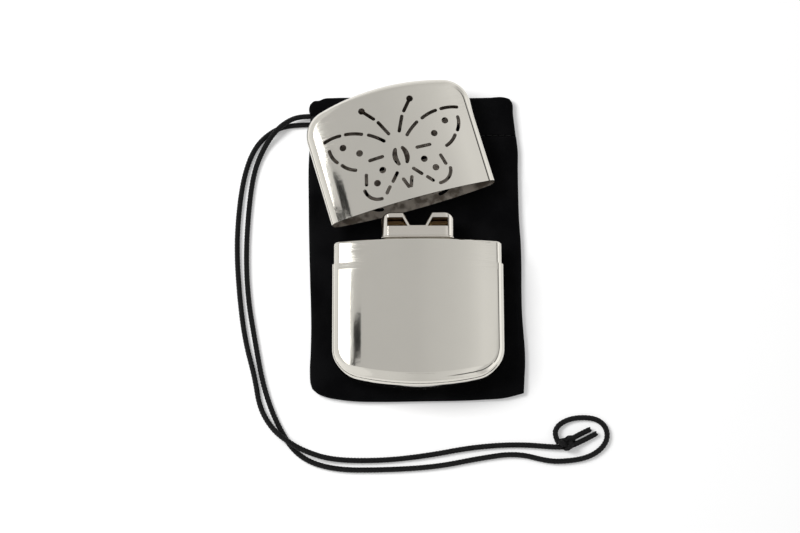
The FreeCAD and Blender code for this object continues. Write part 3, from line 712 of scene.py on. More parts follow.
def looking_rays(board: Board) -> Wire:
    """1 for the rays that look at something, straight, in a mirror or through glass, and 0 for light.

    Args:
        board: Board of the material or world.

    Returns:
        The share.
    """
    path = board.node("LightPath", None, None, "Is Camera Ray")
    return path.larger(path.other("Is Glossy Ray")).larger(path.other("Is Transmission Ray"))


# ---------------------------------------------------------------------------------------------------------
# Surfaces from arrays
# ---------------------------------------------------------------------------------------------------------


class StrandMap:
    """Name and making of the UV map that runs along a strand."""

    NAME = "strand"

    @staticmethod
    def write(mesh: bpy.types.Mesh, per_vertex: np.ndarray) -> None:
        """Gives each corner the map's value of its vertex.

        Args:
            mesh: Finished mesh.
            per_vertex: Two numbers for each vertex.
        """
        layer = mesh.uv_layers.new(name=StrandMap.NAME)
        corners = np.empty(len(mesh.loops), dtype=np.int32)
        mesh.loops.foreach_get("vertex_index", corners)
        layer.data.foreach_set("uv", per_vertex[corners].astype(np.float32).ravel())


def mesh_piece(name: str, spots: Points, faces: Sequence[np.ndarray]) -> bpy.types.Object:
    """A smooth-shaded mesh object at the origin.

    Args:
        name: Name of the piece.
        spots: Vertices, one row each, in metres.
        faces: Arrays of faces, each with a fixed number of corners.

    Returns:
        The object, linked into the scene.
    """
    mesh = bpy.data.meshes.new(name)
    corners = np.concatenate([group.ravel() for group in faces]).astype(np.int32)
    sizes = np.concatenate([np.full(len(group), group.shape[1]) for group in faces])
    starts = np.concatenate([[0], np.cumsum(sizes)[:-1]]).astype(np.int32)
    mesh.vertices.add(len(spots))
    mesh.vertices.foreach_set("co", spots.astype(np.float32).ravel())
    mesh.loops.add(len(corners))
    mesh.loops.foreach_set("vertex_index", corners)
    mesh.polygons.add(len(sizes))
    mesh.polygons.foreach_set("loop_start", starts)
    mesh.update(calc_edges=True)
    mesh.polygons.foreach_set("use_smooth", np.ones(len(sizes), dtype=bool))
    piece = bpy.data.objects.new(name, mesh)
    bpy.context.scene.collection.objects.link(piece)
    return piece


def grid_faces(rows: int, columns: int, joined: bool, start: int = 0) -> np.ndarray:
    """Quads between the points of a grid that is stored row by row.

    Args:
        rows: Number of rows.
        columns: Number of points in a row.
        joined: Whether a row's last point joins its first.
        start: Number of the grid's first vertex.

    Returns:
        Quads, one row each, that turn from a row's own direction to the next row.
    """
    row = np.arange(rows - 1)[:, None] * columns
    column = np.arange(columns if joined else columns - 1)[None, :]
    after = (column + 1) % columns
    quads = np.stack([row + column, row + after, row + columns + after, row + columns + column], axis=-1)
    return quads.reshape(-1, 4) + start


def lengths_along(line: Points) -> np.ndarray:
    """The length of the way from a line's first point to each of its points."""
    return np.concatenate([[0.0], np.cumsum(np.linalg.norm(np.diff(line, axis=0), axis=1))])


def points_at(line: Points, at: np.ndarray) -> Points:
    """The points of a line at some lengths from its first point."""
    lengths = lengths_along(line)
    return np.stack([np.interp(at, lengths, line[:, axis]) for axis in range(3)], axis=1)


def smooth_curve(knots: Sequence[Sequence[float]], shares: np.ndarray) -> Points:
    """Points of a smooth curve through knots.

    Each span is the cubic that leaves and meets its two knots along the slopes there, and a slope is the
    weighted mean of the runs beside the knot.

    Args:
        knots: Knots, in order.
        shares: Shares of the whole chord length, from 0 to 1.

    Returns:
        One point for each share.
    """
    spots = np.asarray(knots, dtype=float)
    lengths = lengths_along(spots)
    slopes = np.gradient(spots, lengths, axis=0)
    at = np.asarray(shares) * lengths[-1]
    span = np.clip(np.searchsorted(lengths, at, side="right") - 1, 0, len(spots) - 2)
    run = (lengths[span + 1] - lengths[span])[:, None]
    t = (at - lengths[span])[:, None] / run
    keep = 2 * t**3 - 3 * t**2 + 1
    leave = (t**3 - 2 * t**2 + t) * run
    meet = (t**3 - t**2) * run
    return keep * spots[span] + (1 - keep) * spots[span + 1] + leave * slopes[span] + meet * slopes[span + 1]


def level_frames(path: Points, closed: bool = False) -> tuple[Points, Points, Points]:
    """Directions along a path, level beside it and across both.

    Args:
        path: Points of the path.
        closed: Whether the last point is followed by the first.

    Returns:
        The path's own direction, the level direction to its left and the one that is square to both.
    """
    if closed:
        ahead = np.roll(path, -1, axis=0) - np.roll(path, 1, axis=0)
    else:
        ahead = np.gradient(path, axis=0)
    ahead = ahead / np.linalg.norm(ahead, axis=1, keepdims=True)
    left = np.stack([-ahead[:, 1], ahead[:, 0], np.zeros(len(path))], axis=1)
    left = left / np.linalg.norm(left, axis=1, keepdims=True)
    return ahead, left, np.cross(ahead, left)


def tube(path: Points, radius: float, sides: int, closed: bool) -> tuple[Points, list[np.ndarray]]:
    """A round tube: circles of one radius, square to the path, joined by quads and closed at their ends.

    Args:
        path: Points of the path.
        radius: Radius of the tube.
        sides: Points round the tube.
        closed: Whether the path is a loop.

    Returns:
        Vertices and groups of faces.
    """
    _, left, up = level_frames(path, closed)
    angle = np.arange(sides) * TURN / sides
    rings = path[:, None] + radius * (
        np.cos(angle)[None, :, None] * left[:, None] + np.sin(angle)[None, :, None] * up[:, None]
    )
    return rings.reshape(-1, 3), tube_faces(len(path), sides, closed)


def tube_faces(rings: int, sides: int, closed: bool, start: int = 0) -> list[np.ndarray]:
    """Faces of a tube whose rings are stored one after another.

    Args:
        rings: Number of rings.
        sides: Points in a ring.
        closed: Whether the last ring joins the first.
        start: Number of the tube's first vertex.

    Returns:
        Quads, and the two end faces of an open tube.
    """
    quads = grid_faces(rings, sides, joined=True)
    if closed:
        seam = quads[:sides] + (rings - 1) * sides
        return [np.concatenate([quads, seam % (rings * sides)]) + start]
    first = np.arange(sides)[::-1][None, :]
    last = (rings - 1) * sides + np.arange(sides)[None, :]
    return [quads + start, first + start, last + start]


@dataclass(frozen=True)
class Braid:
    """Round braid: four right-hand and four left-hand strands that pass over and under each other."""

    radius: float = 0.81 * MM
    swing: float = 0.11 * MM
    half_width: float = 0.46 * MM
    half_height: float = 0.22 * MM
    turn_length: float = 5.2 * MM
    step: float = 0.33 * MM
    strands_each_way: int = 4
    section_points: int = 6
    core_sides: int = 10

    def build(self, name: str, path: Points, closed: bool = False) -> bpy.types.Object:
        """The braid along a path, over its core.

        A strand's place at length s is the path's point plus a radius that swings as the cosine of four
        turns, in the direction that turns once in turn_length, one way or the other. Its section is an
        ellipse that lies flat on the cord.

        Args:
            name: Name of the piece.
            path: Points of the cord's own line, evenly spaced.
            closed: Whether the path is a loop.

        Returns:
            The piece, with the strand map.
        """
        ahead, left, up = level_frames(path, closed)
        length = lengths_along(path)
        whole = length[-1] + (np.linalg.norm(path[0] - path[-1]) if closed else 0.0)
        turns = max(1, round(whole / self.turn_length)) if closed else whole / self.turn_length
        turning = TURN * turns * length / whole
        hand = np.repeat([1.0, -1.0], self.strands_each_way)[:, None]
        first = np.tile(np.arange(self.strands_each_way), 2)[:, None] * TURN / self.strands_each_way
        angle = hand * turning[None, :] + first
        reach = self.radius + hand * self.swing * np.cos(self.strands_each_way * turning)[None, :]
        outward = np.cos(angle)[..., None] * left + np.sin(angle)[..., None] * up
        around = -np.sin(angle)[..., None] * left + np.cos(angle)[..., None] * up
        middle = path[None] + reach[..., None] * outward
        slope = hand * TURN * turns / whole * reach
        run = ahead[None] + slope[..., None] * around
        run = run / np.linalg.norm(run, axis=-1, keepdims=True)
        across = np.cross(run, outward)
        way = np.arange(self.section_points) * TURN / self.section_points
        section = (
            self.half_width * np.cos(way)[:, None] * across[:, :, None]
            + self.half_height * np.sin(way)[:, None] * outward[:, :, None]
        )
        strands = (middle[:, :, None] + section).reshape(-1, 3)
        count, rings = len(hand), len(path)
        per_strand = rings * self.section_points
        faces = []
        for number in range(count):
            faces += tube_faces(rings, self.section_points, closed, number * per_strand)
        core_spots, core_faces = tube(path, self.radius - 0.5 * self.half_height, self.core_sides, closed)
        faces += [group + count * per_strand for group in core_faces]
        piece = mesh_piece(name, np.concatenate([strands, core_spots]), faces)
        along = np.broadcast_to((length / MM)[None, :, None], (count, rings, self.section_points))
        round_it = np.broadcast_to((way / TURN)[None, None, :], along.shape)
        strand_map = np.stack([along, round_it], axis=-1).reshape(-1, 2)
        StrandMap.write(piece.data, np.concatenate([strand_map, np.zeros((len(core_spots), 2))]))
        return piece


@dataclass(frozen=True)
class Outline:
    """Outline of a flat piece in its own plane, as four smooth sides, in millimetres.

    Bottom and top run the same way, and so do left and right, and the sides meet at the four corners.
    """

    bottom: Sequence[tuple[float, float]]
    top: Sequence[tuple[float, float]]
    left: Sequence[tuple[float, float]]
    right: Sequence[tuple[float, float]]

    def patch(self, across: np.ndarray, up: np.ndarray) -> Points:
        """Points inside the outline.

        The place is the blend of bottom and top plus the blend of left and right, less the blend of the
        four corners.

        Args:
            across: Shares from left to right.
            up: Shares from bottom to top.

        Returns:
            Grid of points with one row for each share up, in metres.
        """
        bottom, top = smooth_curve(self.bottom, across), smooth_curve(self.top, across)
        left, right = smooth_curve(self.left, up)[:, None], smooth_curve(self.right, up)[:, None]
        a, b = across[None, :, None], up[:, None, None]
        corners = (1 - b) * ((1 - a) * bottom[0] + a * bottom[-1]) + b * ((1 - a) * top[0] + a * top[-1])
        return ((1 - b) * bottom + b * top + (1 - a) * left + a * right - corners) * MM


@dataclass(frozen=True)
class Edges:
    """How far in from each side a pad's edge is rounded, in millimetres."""

    left: float
    right: float
    bottom: float
    top: float

    def crown(self, across: np.ndarray, up: np.ndarray, width: float, length: float) -> np.ndarray:
        """Height share over a grid: the product of four quarter ellipses, 0 at the rim and 1 inside.

        Args:
            across: Shares from left to right.
            up: Shares from bottom to top.
            width: Width of the pad in millimetres.
            length: Length of the pad in millimetres.

        Returns:
            Grid of shares.
        """

        def quarter(distance: np.ndarray, radius: float) -> np.ndarray:
            """Quarter ellipse over one side's rounding."""
            return np.sqrt(np.clip(1 - (1 - np.minimum(distance / radius, 1)) ** 2, 0, 1))

        sides = quarter(across * width, self.left) * quarter((1 - across) * width, self.right)
        ends = quarter(up * length, self.bottom) * quarter((1 - up) * length, self.top)
        return ends[:, None] * sides[None, :]


def clustered(count: int) -> np.ndarray:
    """Shares from 0 to 1 that crowd together at both ends, as the height of a turning wheel does."""
    return (1 - np.cos(np.linspace(0, math.pi, count))) / 2


def summed_waves(x: np.ndarray, y: np.ndarray, waves: Sequence[Wave]) -> np.ndarray:
    """The sum of the sines of a * x + b * y + start, over waves of (a, b, start).

    Args:
        x: Places across, in millimetres.
        y: Places up, in millimetres.
        waves: Turning across and up, in radians per millimetre, and where each wave starts.

    Returns:
        The sum at each place.
    """
    return sum(np.sin(a * x + b * y + start) for a, b, start in waves)


def closed_pad(name: str, upper: Points, lower: Points) -> bpy.types.Object:
    """A closed piece between two grids of the same size, with a strip round the rim.

    Args:
        name: Name of the piece.
        upper: Grid of the upper face, rows going up and columns to the right, seen from above.
        lower: Grid of the lower face, in the same order.

    Returns:
        The piece.
    """
    rows, columns = upper.shape[:2]
    count = rows * columns
    number = np.arange(count).reshape(rows, columns)
    rim = np.concatenate([number[0, :-1], number[:-1, -1], number[-1, :0:-1], number[:0:-1, 0]])
    after = np.roll(rim, -1)
    strip = np.stack([rim + count, after + count, after, rim], axis=-1)
    face = grid_faces(rows, columns, joined=False)
    spots = np.concatenate([upper.reshape(-1, 3), lower.reshape(-1, 3)])
    return mesh_piece(name, spots, [face, face[:, ::-1] + count, strip])


# ---------------------------------------------------------------------------------------------------------
# The warmer
# ---------------------------------------------------------------------------------------------------------


def box_in_mm(node: str) -> tuple[np.ndarray, np.ndarray]:
    """The low and the high corner of a node's box, in millimetres."""
    low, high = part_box(node)
    return np.array(low) / MM, np.array(high) / MM


def middle_of(node: str) -> Point:
    """The middle of a node's box, in metres."""
    low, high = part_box(node)
    return tuple((first + last) / 2 for first, last in zip(low, high))


@dataclass
class Tank:
    """Drawn cup and collar, the neck, and the cotton and felt that they hold."""

    cup: str = "tank_shell"
    collar: str = "tank_collar"
    neck: str = "filler_neck"
    felt: str = "wick_felt"
    cotton: str = "cotton_wadding"
    lip_from: float = -13.6
    base_arc: float = 97.0
    roll: float = 4.3

    def build(self, nodes: dict[str, bpy.types.Object]) -> list[bpy.types.Object]:
        """Dresses the metal nodes and makes the felt and the cotton.

        Args:
            nodes: Nodes of the frame.

        Returns:
            The new pieces.
        """
        middle = middle_of(self.cup)
        low, high = box_in_mm(self.cup)
        cup = BrightPlate(
            "bright cup",
            middle,
            lip_from=self.lip_from,
            lip_slope=0.07,
            roll_centre=((low[0] + high[0]) / 2, low[1] + self.base_arc),
            roll_from=self.base_arc - self.roll,
        )
        cup.lay_on(nodes[self.cup])
        BrightPlate("bright collar", middle).lay_on(nodes[self.collar])
        DullPlate("tumbled plate").lay_on(nodes[self.neck])
        felt = FibrePad(self.felt, Lay.ACROSS_NECK, corner=3.0, edge=0.5, lumps=0.12).build("wick_felt_pad")
        Fibres("off-white felt", (0.86, 0.83, 0.75), (0.62, 0.57, 0.47)).lay_on(felt)
        cotton = FibrePad(
            self.cotton,
            Lay.ON_TABLE,
            corner=12.0,
            edge=3.0,
            lumps=0.5,
            arc=112.7,
            bow=95.5,
            rows=61,
        ).build("cotton_filling")
        Fibres("absorbent cotton", (0.93, 0.92, 0.88), (0.75, 0.72, 0.64), 0.3 * MM, 0.12).lay_on(cotton)
        return [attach(felt, "tank"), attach(cotton, "tank")]


@dataclass
class FibrePad:
    """A soft pad of matted fibres that fills the box of its node."""

    node: str
    lay: Lay
    corner: float
    edge: float
    lumps: float
    arc: float = 0.0
    bow: float = 0.0
    rim_share: float = 0.1
    waves: tuple[Wave, ...] = ((1.7, 0.6, 0.0), (-0.8, 2.9, 1.0), (0.9, -2.1, 2.0))
    rows: int = 33
    columns: int = 61

    def build(self, name: str) -> bpy.types.Object:
        """A rounded rectangle with rounded rims and a lumpy face, kept inside its node's box.

        The faces sink towards the sides as an arc does, where the pad has one, and sines of three
        directions make the lumps.

        Args:
            name: Name of the piece.

        Returns:
            The piece, which replaces its node.
        """
        low, high = box_in_mm(self.node)
        if self.lay is Lay.ACROSS_NECK:
            low, high = np.array([low[0], -high[2], low[1]]), np.array([high[0], -low[2], high[1]])
        if self.bow:
            outline = bowed_oblong(low[0], high[0], low[1], high[1], self.corner, self.bow)
        else:
            outline = rounded_rectangle(low[0], high[0], low[1], high[1], self.corner)
        across, up = clustered(self.columns), clustered(self.rows)
        flat = outline.patch(across, up)
        crown = Edges(self.edge, self.edge, self.edge, self.edge).crown(
            across, up, high[0] - low[0], high[1] - low[1]
        )
        x, y = flat[..., 0] / MM, flat[..., 1] / MM
        sunk = self.lumps * (0.5 + summed_waves(x, y, self.waves) / (2 * len(self.waves)))
        if self.arc:
            beside = x - (low[0] + high[0]) / 2
            sunk = sunk + self.arc - np.sqrt(self.arc**2 - beside**2)
        middle = (low[2] + high[2]) / 2
        half = (high[2] - low[2]) / 2
        lift = np.maximum(half - sunk, self.rim_share * half)
        lift = lift * (self.rim_share + (1 - self.rim_share) * crown)
        upper = np.dstack([flat[..., :2], (middle + lift) * MM])
        lower = np.dstack([flat[..., :2], (middle - lift) * MM])
        if self.lay is Lay.ACROSS_NECK:
            upper, lower = (np.stack([g[..., 0], g[..., 2], -g[..., 1]], axis=-1) for g in (upper, lower))
        piece = closed_pad(name, upper, lower)
        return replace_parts(piece, self.node)


def rounded_rectangle(left: float, right: float, bottom: float, top: float, corner: float) -> Outline:
    """Outline of a rectangle with rounded corners.

    A side runs from the middle of one corner's arc to the middle of the next one's, through one more point
    of each arc, the arcs' ends and two points of its straight stretch.

    Args:
        left: Lowest place across.
        right: Highest place across.
        bottom: Lowest place up.
        top: Highest place up.
        corner: Radius of the corners.

    Returns:
        The outline, whose own corners are the middles of the arcs.
    """
    inset = corner * (1 - math.sqrt(0.5))
    straight = 1.6 * corner

    def bent(ends: tuple[float, float], at: float, way: float) -> list[tuple[float, float]]:
        """One side along the first axis with half an arc at each end.

        Args:
            ends: Where the side would start and end with square corners.
            at: Its place along the second axis.
            way: 1 where the corners bend to higher places and -1 where they bend to lower ones.

        Returns:
            The side's points.
        """
        first, last = ends
        along, off = corner * (1 - math.sin(TURN / 16)), corner * (1 - math.cos(TURN / 16))
        return [
            (first + inset, at + way * inset),
            (first + along, at + way * off),
            (first + corner, at),
            (first + straight, at),
            (last - straight, at),
            (last - corner, at),
            (last - along, at + way * off),
            (last - inset, at + way * inset),
        ]

    return Outline(
        bottom=bent((left, right), bottom, 1.0),
        top=bent((left, right), top, -1.0),
        left=[(x, y) for y, x in bent((bottom, top), left, 1.0)],
        right=[(x, y) for y, x in bent((bottom, top), right, -1.0)],
    )


def bowed_oblong(left: float, right: float, bottom: float, top: float, corner: float, bow: float) -> Outline:
    """Outline of an oblong whose lower side is a long arc that rounded corners join to straight sides.

    The two upper corners are small arcs, in proportion to the width.

    Args:
        left: Lowest place across.
        right: Highest place across.
        bottom: Lowest place up, in the middle of the lower side.
        top: Highest place up.
        corner: Radius of the two lower corners.
        bow: Radius of the lower side.

    Returns:
        The outline, whose lower corners are the middles of the corner arcs.
    """
    middle, half = (left + right) / 2, (right - left) / 2
    out = half - corner
    up = bottom + bow - math.sqrt((bow - corner) ** 2 - out**2)
    steepest = -math.acos(out / (bow - corner))
    lid_corner = 0.06 * half
    cut = 0.3 * lid_corner

    def on_corner(share: float) -> tuple[float, float]:
        """A point of the right corner's arc, from its lower end at 0 to its side at 1."""
        angle = steepest * (1 - share)
        return out + corner * math.cos(angle), up + corner * math.sin(angle)

    def on_bow(share: float) -> tuple[float, float]:
        """A point of the lower arc, from the middle at 0 to the corner's arc at 1."""
        angle = steepest + (-math.pi / 2 - steepest) * (1 - share)
        return bow * math.cos(angle), bottom + bow + bow * math.sin(angle)

    low = [on_bow(0.0), on_bow(0.35), on_bow(0.7), on_corner(0.0), on_corner(0.25), on_corner(0.5)]
    side = [on_corner(0.5), on_corner(0.75), on_corner(1.0), (half, (top + up) / 2)]
    side += [(half, top - lid_corner), (half - cut, top - cut)]
    lid = [(half - cut, top - cut), (half - lid_corner, top), (0.5 * half, top), (0.0, top)]
    return Outline(
        bottom=[(middle - x, y) for x, y in low[:0:-1]] + [(middle + x, y) for x, y in low],
        top=[(middle - x, y) for x, y in lid] + [(middle + x, y) for x, y in lid[-2::-1]],
        left=[(middle - x, y) for x, y in side],
        right=[(middle + x, y) for x, y in side],
    )


@dataclass
class Burner:
    """Skirt, hood and folded frame, with woven gauze on both sides of the catalyst mat."""

    skirt: str = "burner_skirt"
    hood: str = "burner_hood"
    frame: str = "gauze_frame"
    mat: str = "catalyst_mat"
    gauzes: tuple[str, str] = ("lower_gauze", "upper_gauze")
    # Painted shade: the height on the skirt of a thin dark line that stands in for the shade of a groove.
    seam: float = 0.3
    wire: float = 0.17
    mesh_pitch: float = 0.62
    corner: float = 2.6
    spare: float = 0.25
    weave_share: float = 0.4
    steps_per_cell: int = 4

    def build(self, nodes: dict[str, bpy.types.Object]) -> list[bpy.types.Object]:
        """Dresses the metal nodes and makes the gauzes and the mat.

        Args:
            nodes: Nodes of the frame.

        Returns:
            The new pieces.
        """
        low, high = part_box(self.hood)
        tinted = HeatTintedPlate("heat-tinted plate", tuple(low), tuple(high))
        tinted.lay_on(nodes[self.hood])
        low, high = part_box(self.skirt)
        HeatTintedPlate(
            "skirt plate",
            tuple(low),
            tuple(high),
            rim=0.4,
            notch_floor=0.0,
            notch_half=20.0,
            # Places the skirt's painted shade line.
            seam=self.seam,
            sheet=0.8,
        ).lay_on(nodes[self.skirt])
        DullPlate("browned frame", (0.46, 0.38, 0.27)).lay_on(nodes[self.frame])
        pad = FibrePad(self.mat, Lay.ACROSS_NECK, corner=self.corner, edge=0.35, lumps=0.2)
        mat = pad.build("glass_mat")
        Fibres("platinum glass mat", (0.40, 0.36, 0.30), (0.16, 0.14, 0.12)).lay_on(mat)
        meshes = [self._gauze(node) for node in self.gauzes]
        GauzeWire("browned gauze").lay_on(*meshes)
        return [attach(piece, "burner") for piece in (mat, *meshes)]

    def _gauze(self, node: str) -> bpy.types.Object:
        """Plain-woven wire cloth in the oblong of its node.

        A wire's height is the cosine of its length, half a turn for each cell, and its neighbour's is the
        opposite one. Wires near the rounded corners are shorter, by the circle of the corner.

        Args:
            node: Node that the gauze replaces.

        Returns:
            The piece.
        """
        low, high = box_in_mm(node)
        middle, half = (low + high) / 2, (high - low) / 2 - self.spare
        level = middle[1]
        spots, faces = [], []
        for along, beside in ((0, 2), (2, 0)):
            count = int(half[beside] / self.mesh_pitch)
            for number in range(-count, count + 1):
                offset = number * self.mesh_pitch
                into = max(0.0, abs(offset) - (half[beside] - self.corner))
                reach = half[along] - self.corner + math.sqrt(max(self.corner**2 - into**2, 0.0))
                steps = int(2 * reach / self.mesh_pitch) * self.steps_per_cell + 1
                way = np.linspace(-reach, reach, steps)
                sign = 1.0 if (number % 2 == 0) == (along == 0) else -1.0
                line = np.empty((steps, 3))
                line[:, along] = middle[along] + way
                line[:, beside] = middle[beside] + offset
                weave = sign * self.weave_share * self.wire
                line[:, 1] = level + weave * np.cos(math.pi * way / self.mesh_pitch)
                start = sum(len(group) for group in spots)
                new_spots, new_faces = self._wire(line * MM, along)
                spots.append(new_spots)
                faces += [group + start for group in new_faces]
        piece = mesh_piece(node + "_weave", np.concatenate(spots), faces)
        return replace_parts(piece, node)

    def _wire(self, line: Points, along: int) -> tuple[Points, list[np.ndarray]]:
        """A four-sided wire round a line that runs along one axis.

        Args:
            line: Points of the wire's middle.
            along: Number of the axis that it runs along.

        Returns:
            Vertices and groups of faces.
        """
        radius = self.wire / 2 * MM
        rise = np.array([0.0, radius, 0.0])
        beside = np.zeros(3)
        beside[2 - along] = radius if along == 2 else -radius
        ring = np.stack([rise, beside, -rise, -beside])
        spots = (line[:, None] + ring[None]).reshape(-1, 3)
        return spots, tube_faces(len(line), len(ring), closed=False)


@dataclass
class Cap:
    """Vented cap, pulled off and turned beside the tank."""

    node: str = "cap_shell"
    tilt: float = math.radians(15.8)
    worn_from: float = 36.0
    worn_full: float = 46.0
    lean: float = -0.022

    def build(self, nodes: dict[str, bpy.types.Object]) -> None:
        """Dresses the cap, with its marks of handling near the crown.

        Args:
            nodes: Nodes of the frame.
        """
        plate = BrightPlate(
            "bright cap",
            middle_of(self.node),
            turn=-self.tilt,
            rub_from=self.worn_from,
            rub_full=self.worn_full,
            lean=self.lean,
        )
        plate.lay_on(nodes[self.node])


# ---------------------------------------------------------------------------------------------------------
# The pouch and its cord
# ---------------------------------------------------------------------------------------------------------


@dataclass
class Pouch:
    """Flat velvet pouch: two panels, the hem that the cord runs in, its stitches, and the hidden cord."""

    hem_cord: str = "hem_cord"
    columns: int = 91
    panel_rows: int = 111
    hem_rows: int = 41
    panel_flat: tuple[float, float] = (85.0, 109.0)
    hem_flat: tuple[float, float] = (83.0, 17.0)
    middle: float = 1.95
    rim: float = 0.07
    inner_gap: float = 0.03
    side_seams: tuple[float, float] = (-42.6, 42.3)
    slack_waves: tuple[Wave, ...] = ((0.13, 0.05, 0.0), (-0.07, 0.11, 1.3), (0.19, 0.0, 2.0))
    slack_depth: float = 0.045
    pucker_depth: float = 0.16
    pucker_reach: float = 2.2
    pucker_turn: float = 1.35
    pucker_drift: tuple[float, float] = (0.8, 0.37)
    cord_exit: tuple[float, float] = (-43.0, 53.5)
    ridge_depth: float = 0.16
    ridge_half: float = 3.4
    fan_depth: float = 0.34
    fan_reach: float = 9.0
    fan_folds: float = 7.0
    fan_root: float = 3.0
    wave_depth: float = 0.05
    wave_turn: float = 0.45
    seam_line: float = 46.25
    stitch_row: tuple[float, float] = (-41.0, 39.8)
    stitch_pitch: float = 2.6
    stitch_length: float = 2.1
    stitch_low: float = 1.45
    stitch_arch: float = 0.35
    stitch_sway: float = 0.12
    stitch_sway_turn: float = 2.4
    stitch_points: int = 9
    thread: float = 0.34
    thread_sides: int = 6
    panel_edges: Edges = Edges(left=2.4, right=2.0, bottom=2.3, top=0.9)
    hem_edges: Edges = Edges(left=1.6, right=1.6, bottom=0.9, top=1.9)
    panel: Outline = field(
        default_factory=lambda: Outline(
            bottom=[
                (-40.9, -58.7), (-38.2, -60.9), (-35.0, -62.1), (-29.5, -63.15), (-24.0, -63.75),
                (-14.0, -64.0), (1.6, -63.85), (26.0, -63.3), (35.2, -62.6), (42.7, -60.7),
            ],
            top=[(-42.3, 46.2), (-20.0, 46.2), (0.0, 46.2), (20.0, 46.2), (41.4, 46.2)],
            left=[
                (-40.9, -58.7), (-41.6, -56.5), (-41.9, -52.5), (-41.65, -43.7), (-41.5, -33.8),
                (-41.7, -23.9), (-42.05, -14.0), (-42.35, -4.1), (-42.6, 5.8), (-42.8, 18.0),
                (-42.9, 35.5), (-42.3, 46.2),
            ],
            right=[
                (42.7, -60.7), (43.1, -54.5), (43.45, -48.6), (43.45, -43.7), (43.0, -36.0),
                (42.6, -28.8), (42.5, -19.0), (42.65, -8.0), (42.55, 0.9), (42.05, 10.8),
                (41.9, 20.0), (41.9, 33.0), (42.0, 40.0), (41.4, 46.2),
            ],
        )
    )
    hem: Outline = field(
        default_factory=lambda: Outline(
            bottom=[(-42.5, 46.2), (-20.0, 46.2), (0.0, 46.2), (20.0, 46.2), (41.3, 46.2)],
            top=[
                (-42.5, 60.4), (-40.8, 61.9), (-38.8, 62.1), (-36.6, 63.0), (-33.0, 63.2),
                (-10.0, 62.9), (15.0, 62.9), (31.0, 63.1), (36.0, 63.3), (38.9, 62.6),
            ],
            left=[(-42.5, 46.2), (-42.3, 51.0), (-42.4, 55.5), (-42.9, 58.2), (-42.5, 60.4)],
            right=[(41.3, 46.2), (40.9, 50.0), (40.3, 56.0), (39.9, 61.0), (38.9, 62.6)],
        )
    )

    def build(self, nodes: dict[str, bpy.types.Object]) -> list[bpy.types.Object]:
        """Makes the cloth and the stitches, and dresses the cord in the hem.

        Args:
            nodes: Nodes of the frame.

        Returns:
            The new pieces.
        """
        panels = [self._panel(side) for side in Side]
        hems = [self._hem(side) for side in Side]
        rows = [self._stitches(side) for side in Side]
        Velvet("black velvet").lay_on(*panels, *hems)
        BlackThread("sewing thread").lay_on(*rows)
        BlackThread("cord in the hem").lay_on(nodes[self.hem_cord])
        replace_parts(panels[0], "pouch_back")
        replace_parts(panels[1], "pouch_front")
        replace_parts(hems[1], "hem_casing")
        return [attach(piece, "pouch") for piece in (*panels, *hems, *rows)]

    def _cloth(
        self,
        name: str,
        side: Side,
        outline: Outline,
        edges: Edges,
        rows: int,
        ripple: Callable[[np.ndarray, np.ndarray], np.ndarray],
    ) -> bpy.types.Object:
        """A layer of thick cloth whose outer face rolls over to the seam at the pouch's mid-height.

        Args:
            name: Name of the piece.
            side: Side of the pouch; the back lies on the table.
            outline: Outline of the layer.
            edges: Rounding of its sides.
            rows: Rows of the grid.
            ripple: Depth of the folds at places across and up, in millimetres.

        Returns:
            The piece.
        """
        across, up = clustered(self.columns), clustered(rows)
        flat = outline.patch(across, up)
        x, y = flat[..., 0] / MM, flat[..., 1] / MM
        crown = edges.crown(across, up, np.ptp(x), np.ptp(y))
        thick = (self.middle - self.rim - ripple(x, y)) * crown
        outer = self.rim + thick
        inner = np.full_like(outer, self.inner_gap)
        if side is Side.FRONT:
            upper, lower = self.middle + outer, self.middle + inner
        else:
            upper, lower = self.middle - inner, self.middle - outer
        return closed_pad(
            name, np.dstack([flat[..., :2], upper * MM]), np.dstack([flat[..., :2], lower * MM])
        )

    def _panel(self, side: Side) -> bpy.types.Object:
        """One of the two panels, with slack waves and puckers along the sewn sides.

        Args:
            side: Side of the pouch.

        Returns:
            The piece.
        """

        def ripple(x: np.ndarray, y: np.ndarray) -> np.ndarray:
            """Long waves, and short puckers that fade away from the side seams.

            A pucker is the sine of its place up, whose pitch drifts as another sine, and it fades as the
            exponential of the way to the nearer seam.

            Args:
                x: Places across.
                y: Places up.

            Returns:
                The depth at each place.
            """
            slack = len(self.slack_waves) + summed_waves(x, y, self.slack_waves)
            beside = np.minimum(*(np.abs(x - seam) for seam in self.side_seams))
            drift = self.pucker_drift[0] * np.sin(self.pucker_drift[1] * y)
            pucker = (1 + np.sin(self.pucker_turn * y + drift)) * np.exp(-beside / self.pucker_reach)
            return self.slack_depth * slack + self.pucker_depth * pucker

        name = f"pouch_{side.value}_cloth"
        return self._cloth(name, side, self.panel, self.panel_edges, self.panel_rows, ripple)

    def _hem(self, side: Side) -> bpy.types.Object:
        """The folded hem, gathered where the cord leaves it and raised a little over the cord.

        Args:
            side: Side of the pouch.

        Returns:
            The piece.
        """

        def ripple(x: np.ndarray, y: np.ndarray) -> np.ndarray:
            """Sinks away from the cord's line, with folds that fan out from the cord's exit.

            The ridge over the cord is a bell curve across its line. A fold of the fan is the sine of the
            angle about the fan's root, and it fades as the exponential of the way to the exit.

            Args:
                x: Places across.
                y: Places up.

            Returns:
                The depth at each place.
            """
            beside, above = x - self.cord_exit[0], y - self.cord_exit[1]
            angle = np.arctan2(above, beside + self.fan_root)
            fan = (1 + np.sin(self.fan_folds * angle)) * np.exp(-np.hypot(beside, above) / self.fan_reach)
            ridge = 1 - np.exp(-((above / self.ridge_half) ** 2))
            waves = self.wave_depth * (1 + np.sin(self.wave_turn * x))
            return self.ridge_depth * ridge + self.fan_depth * fan + waves

        name = f"hem_{side.value}_cloth"
        return self._cloth(name, side, self.hem, self.hem_edges, self.hem_rows, ripple)

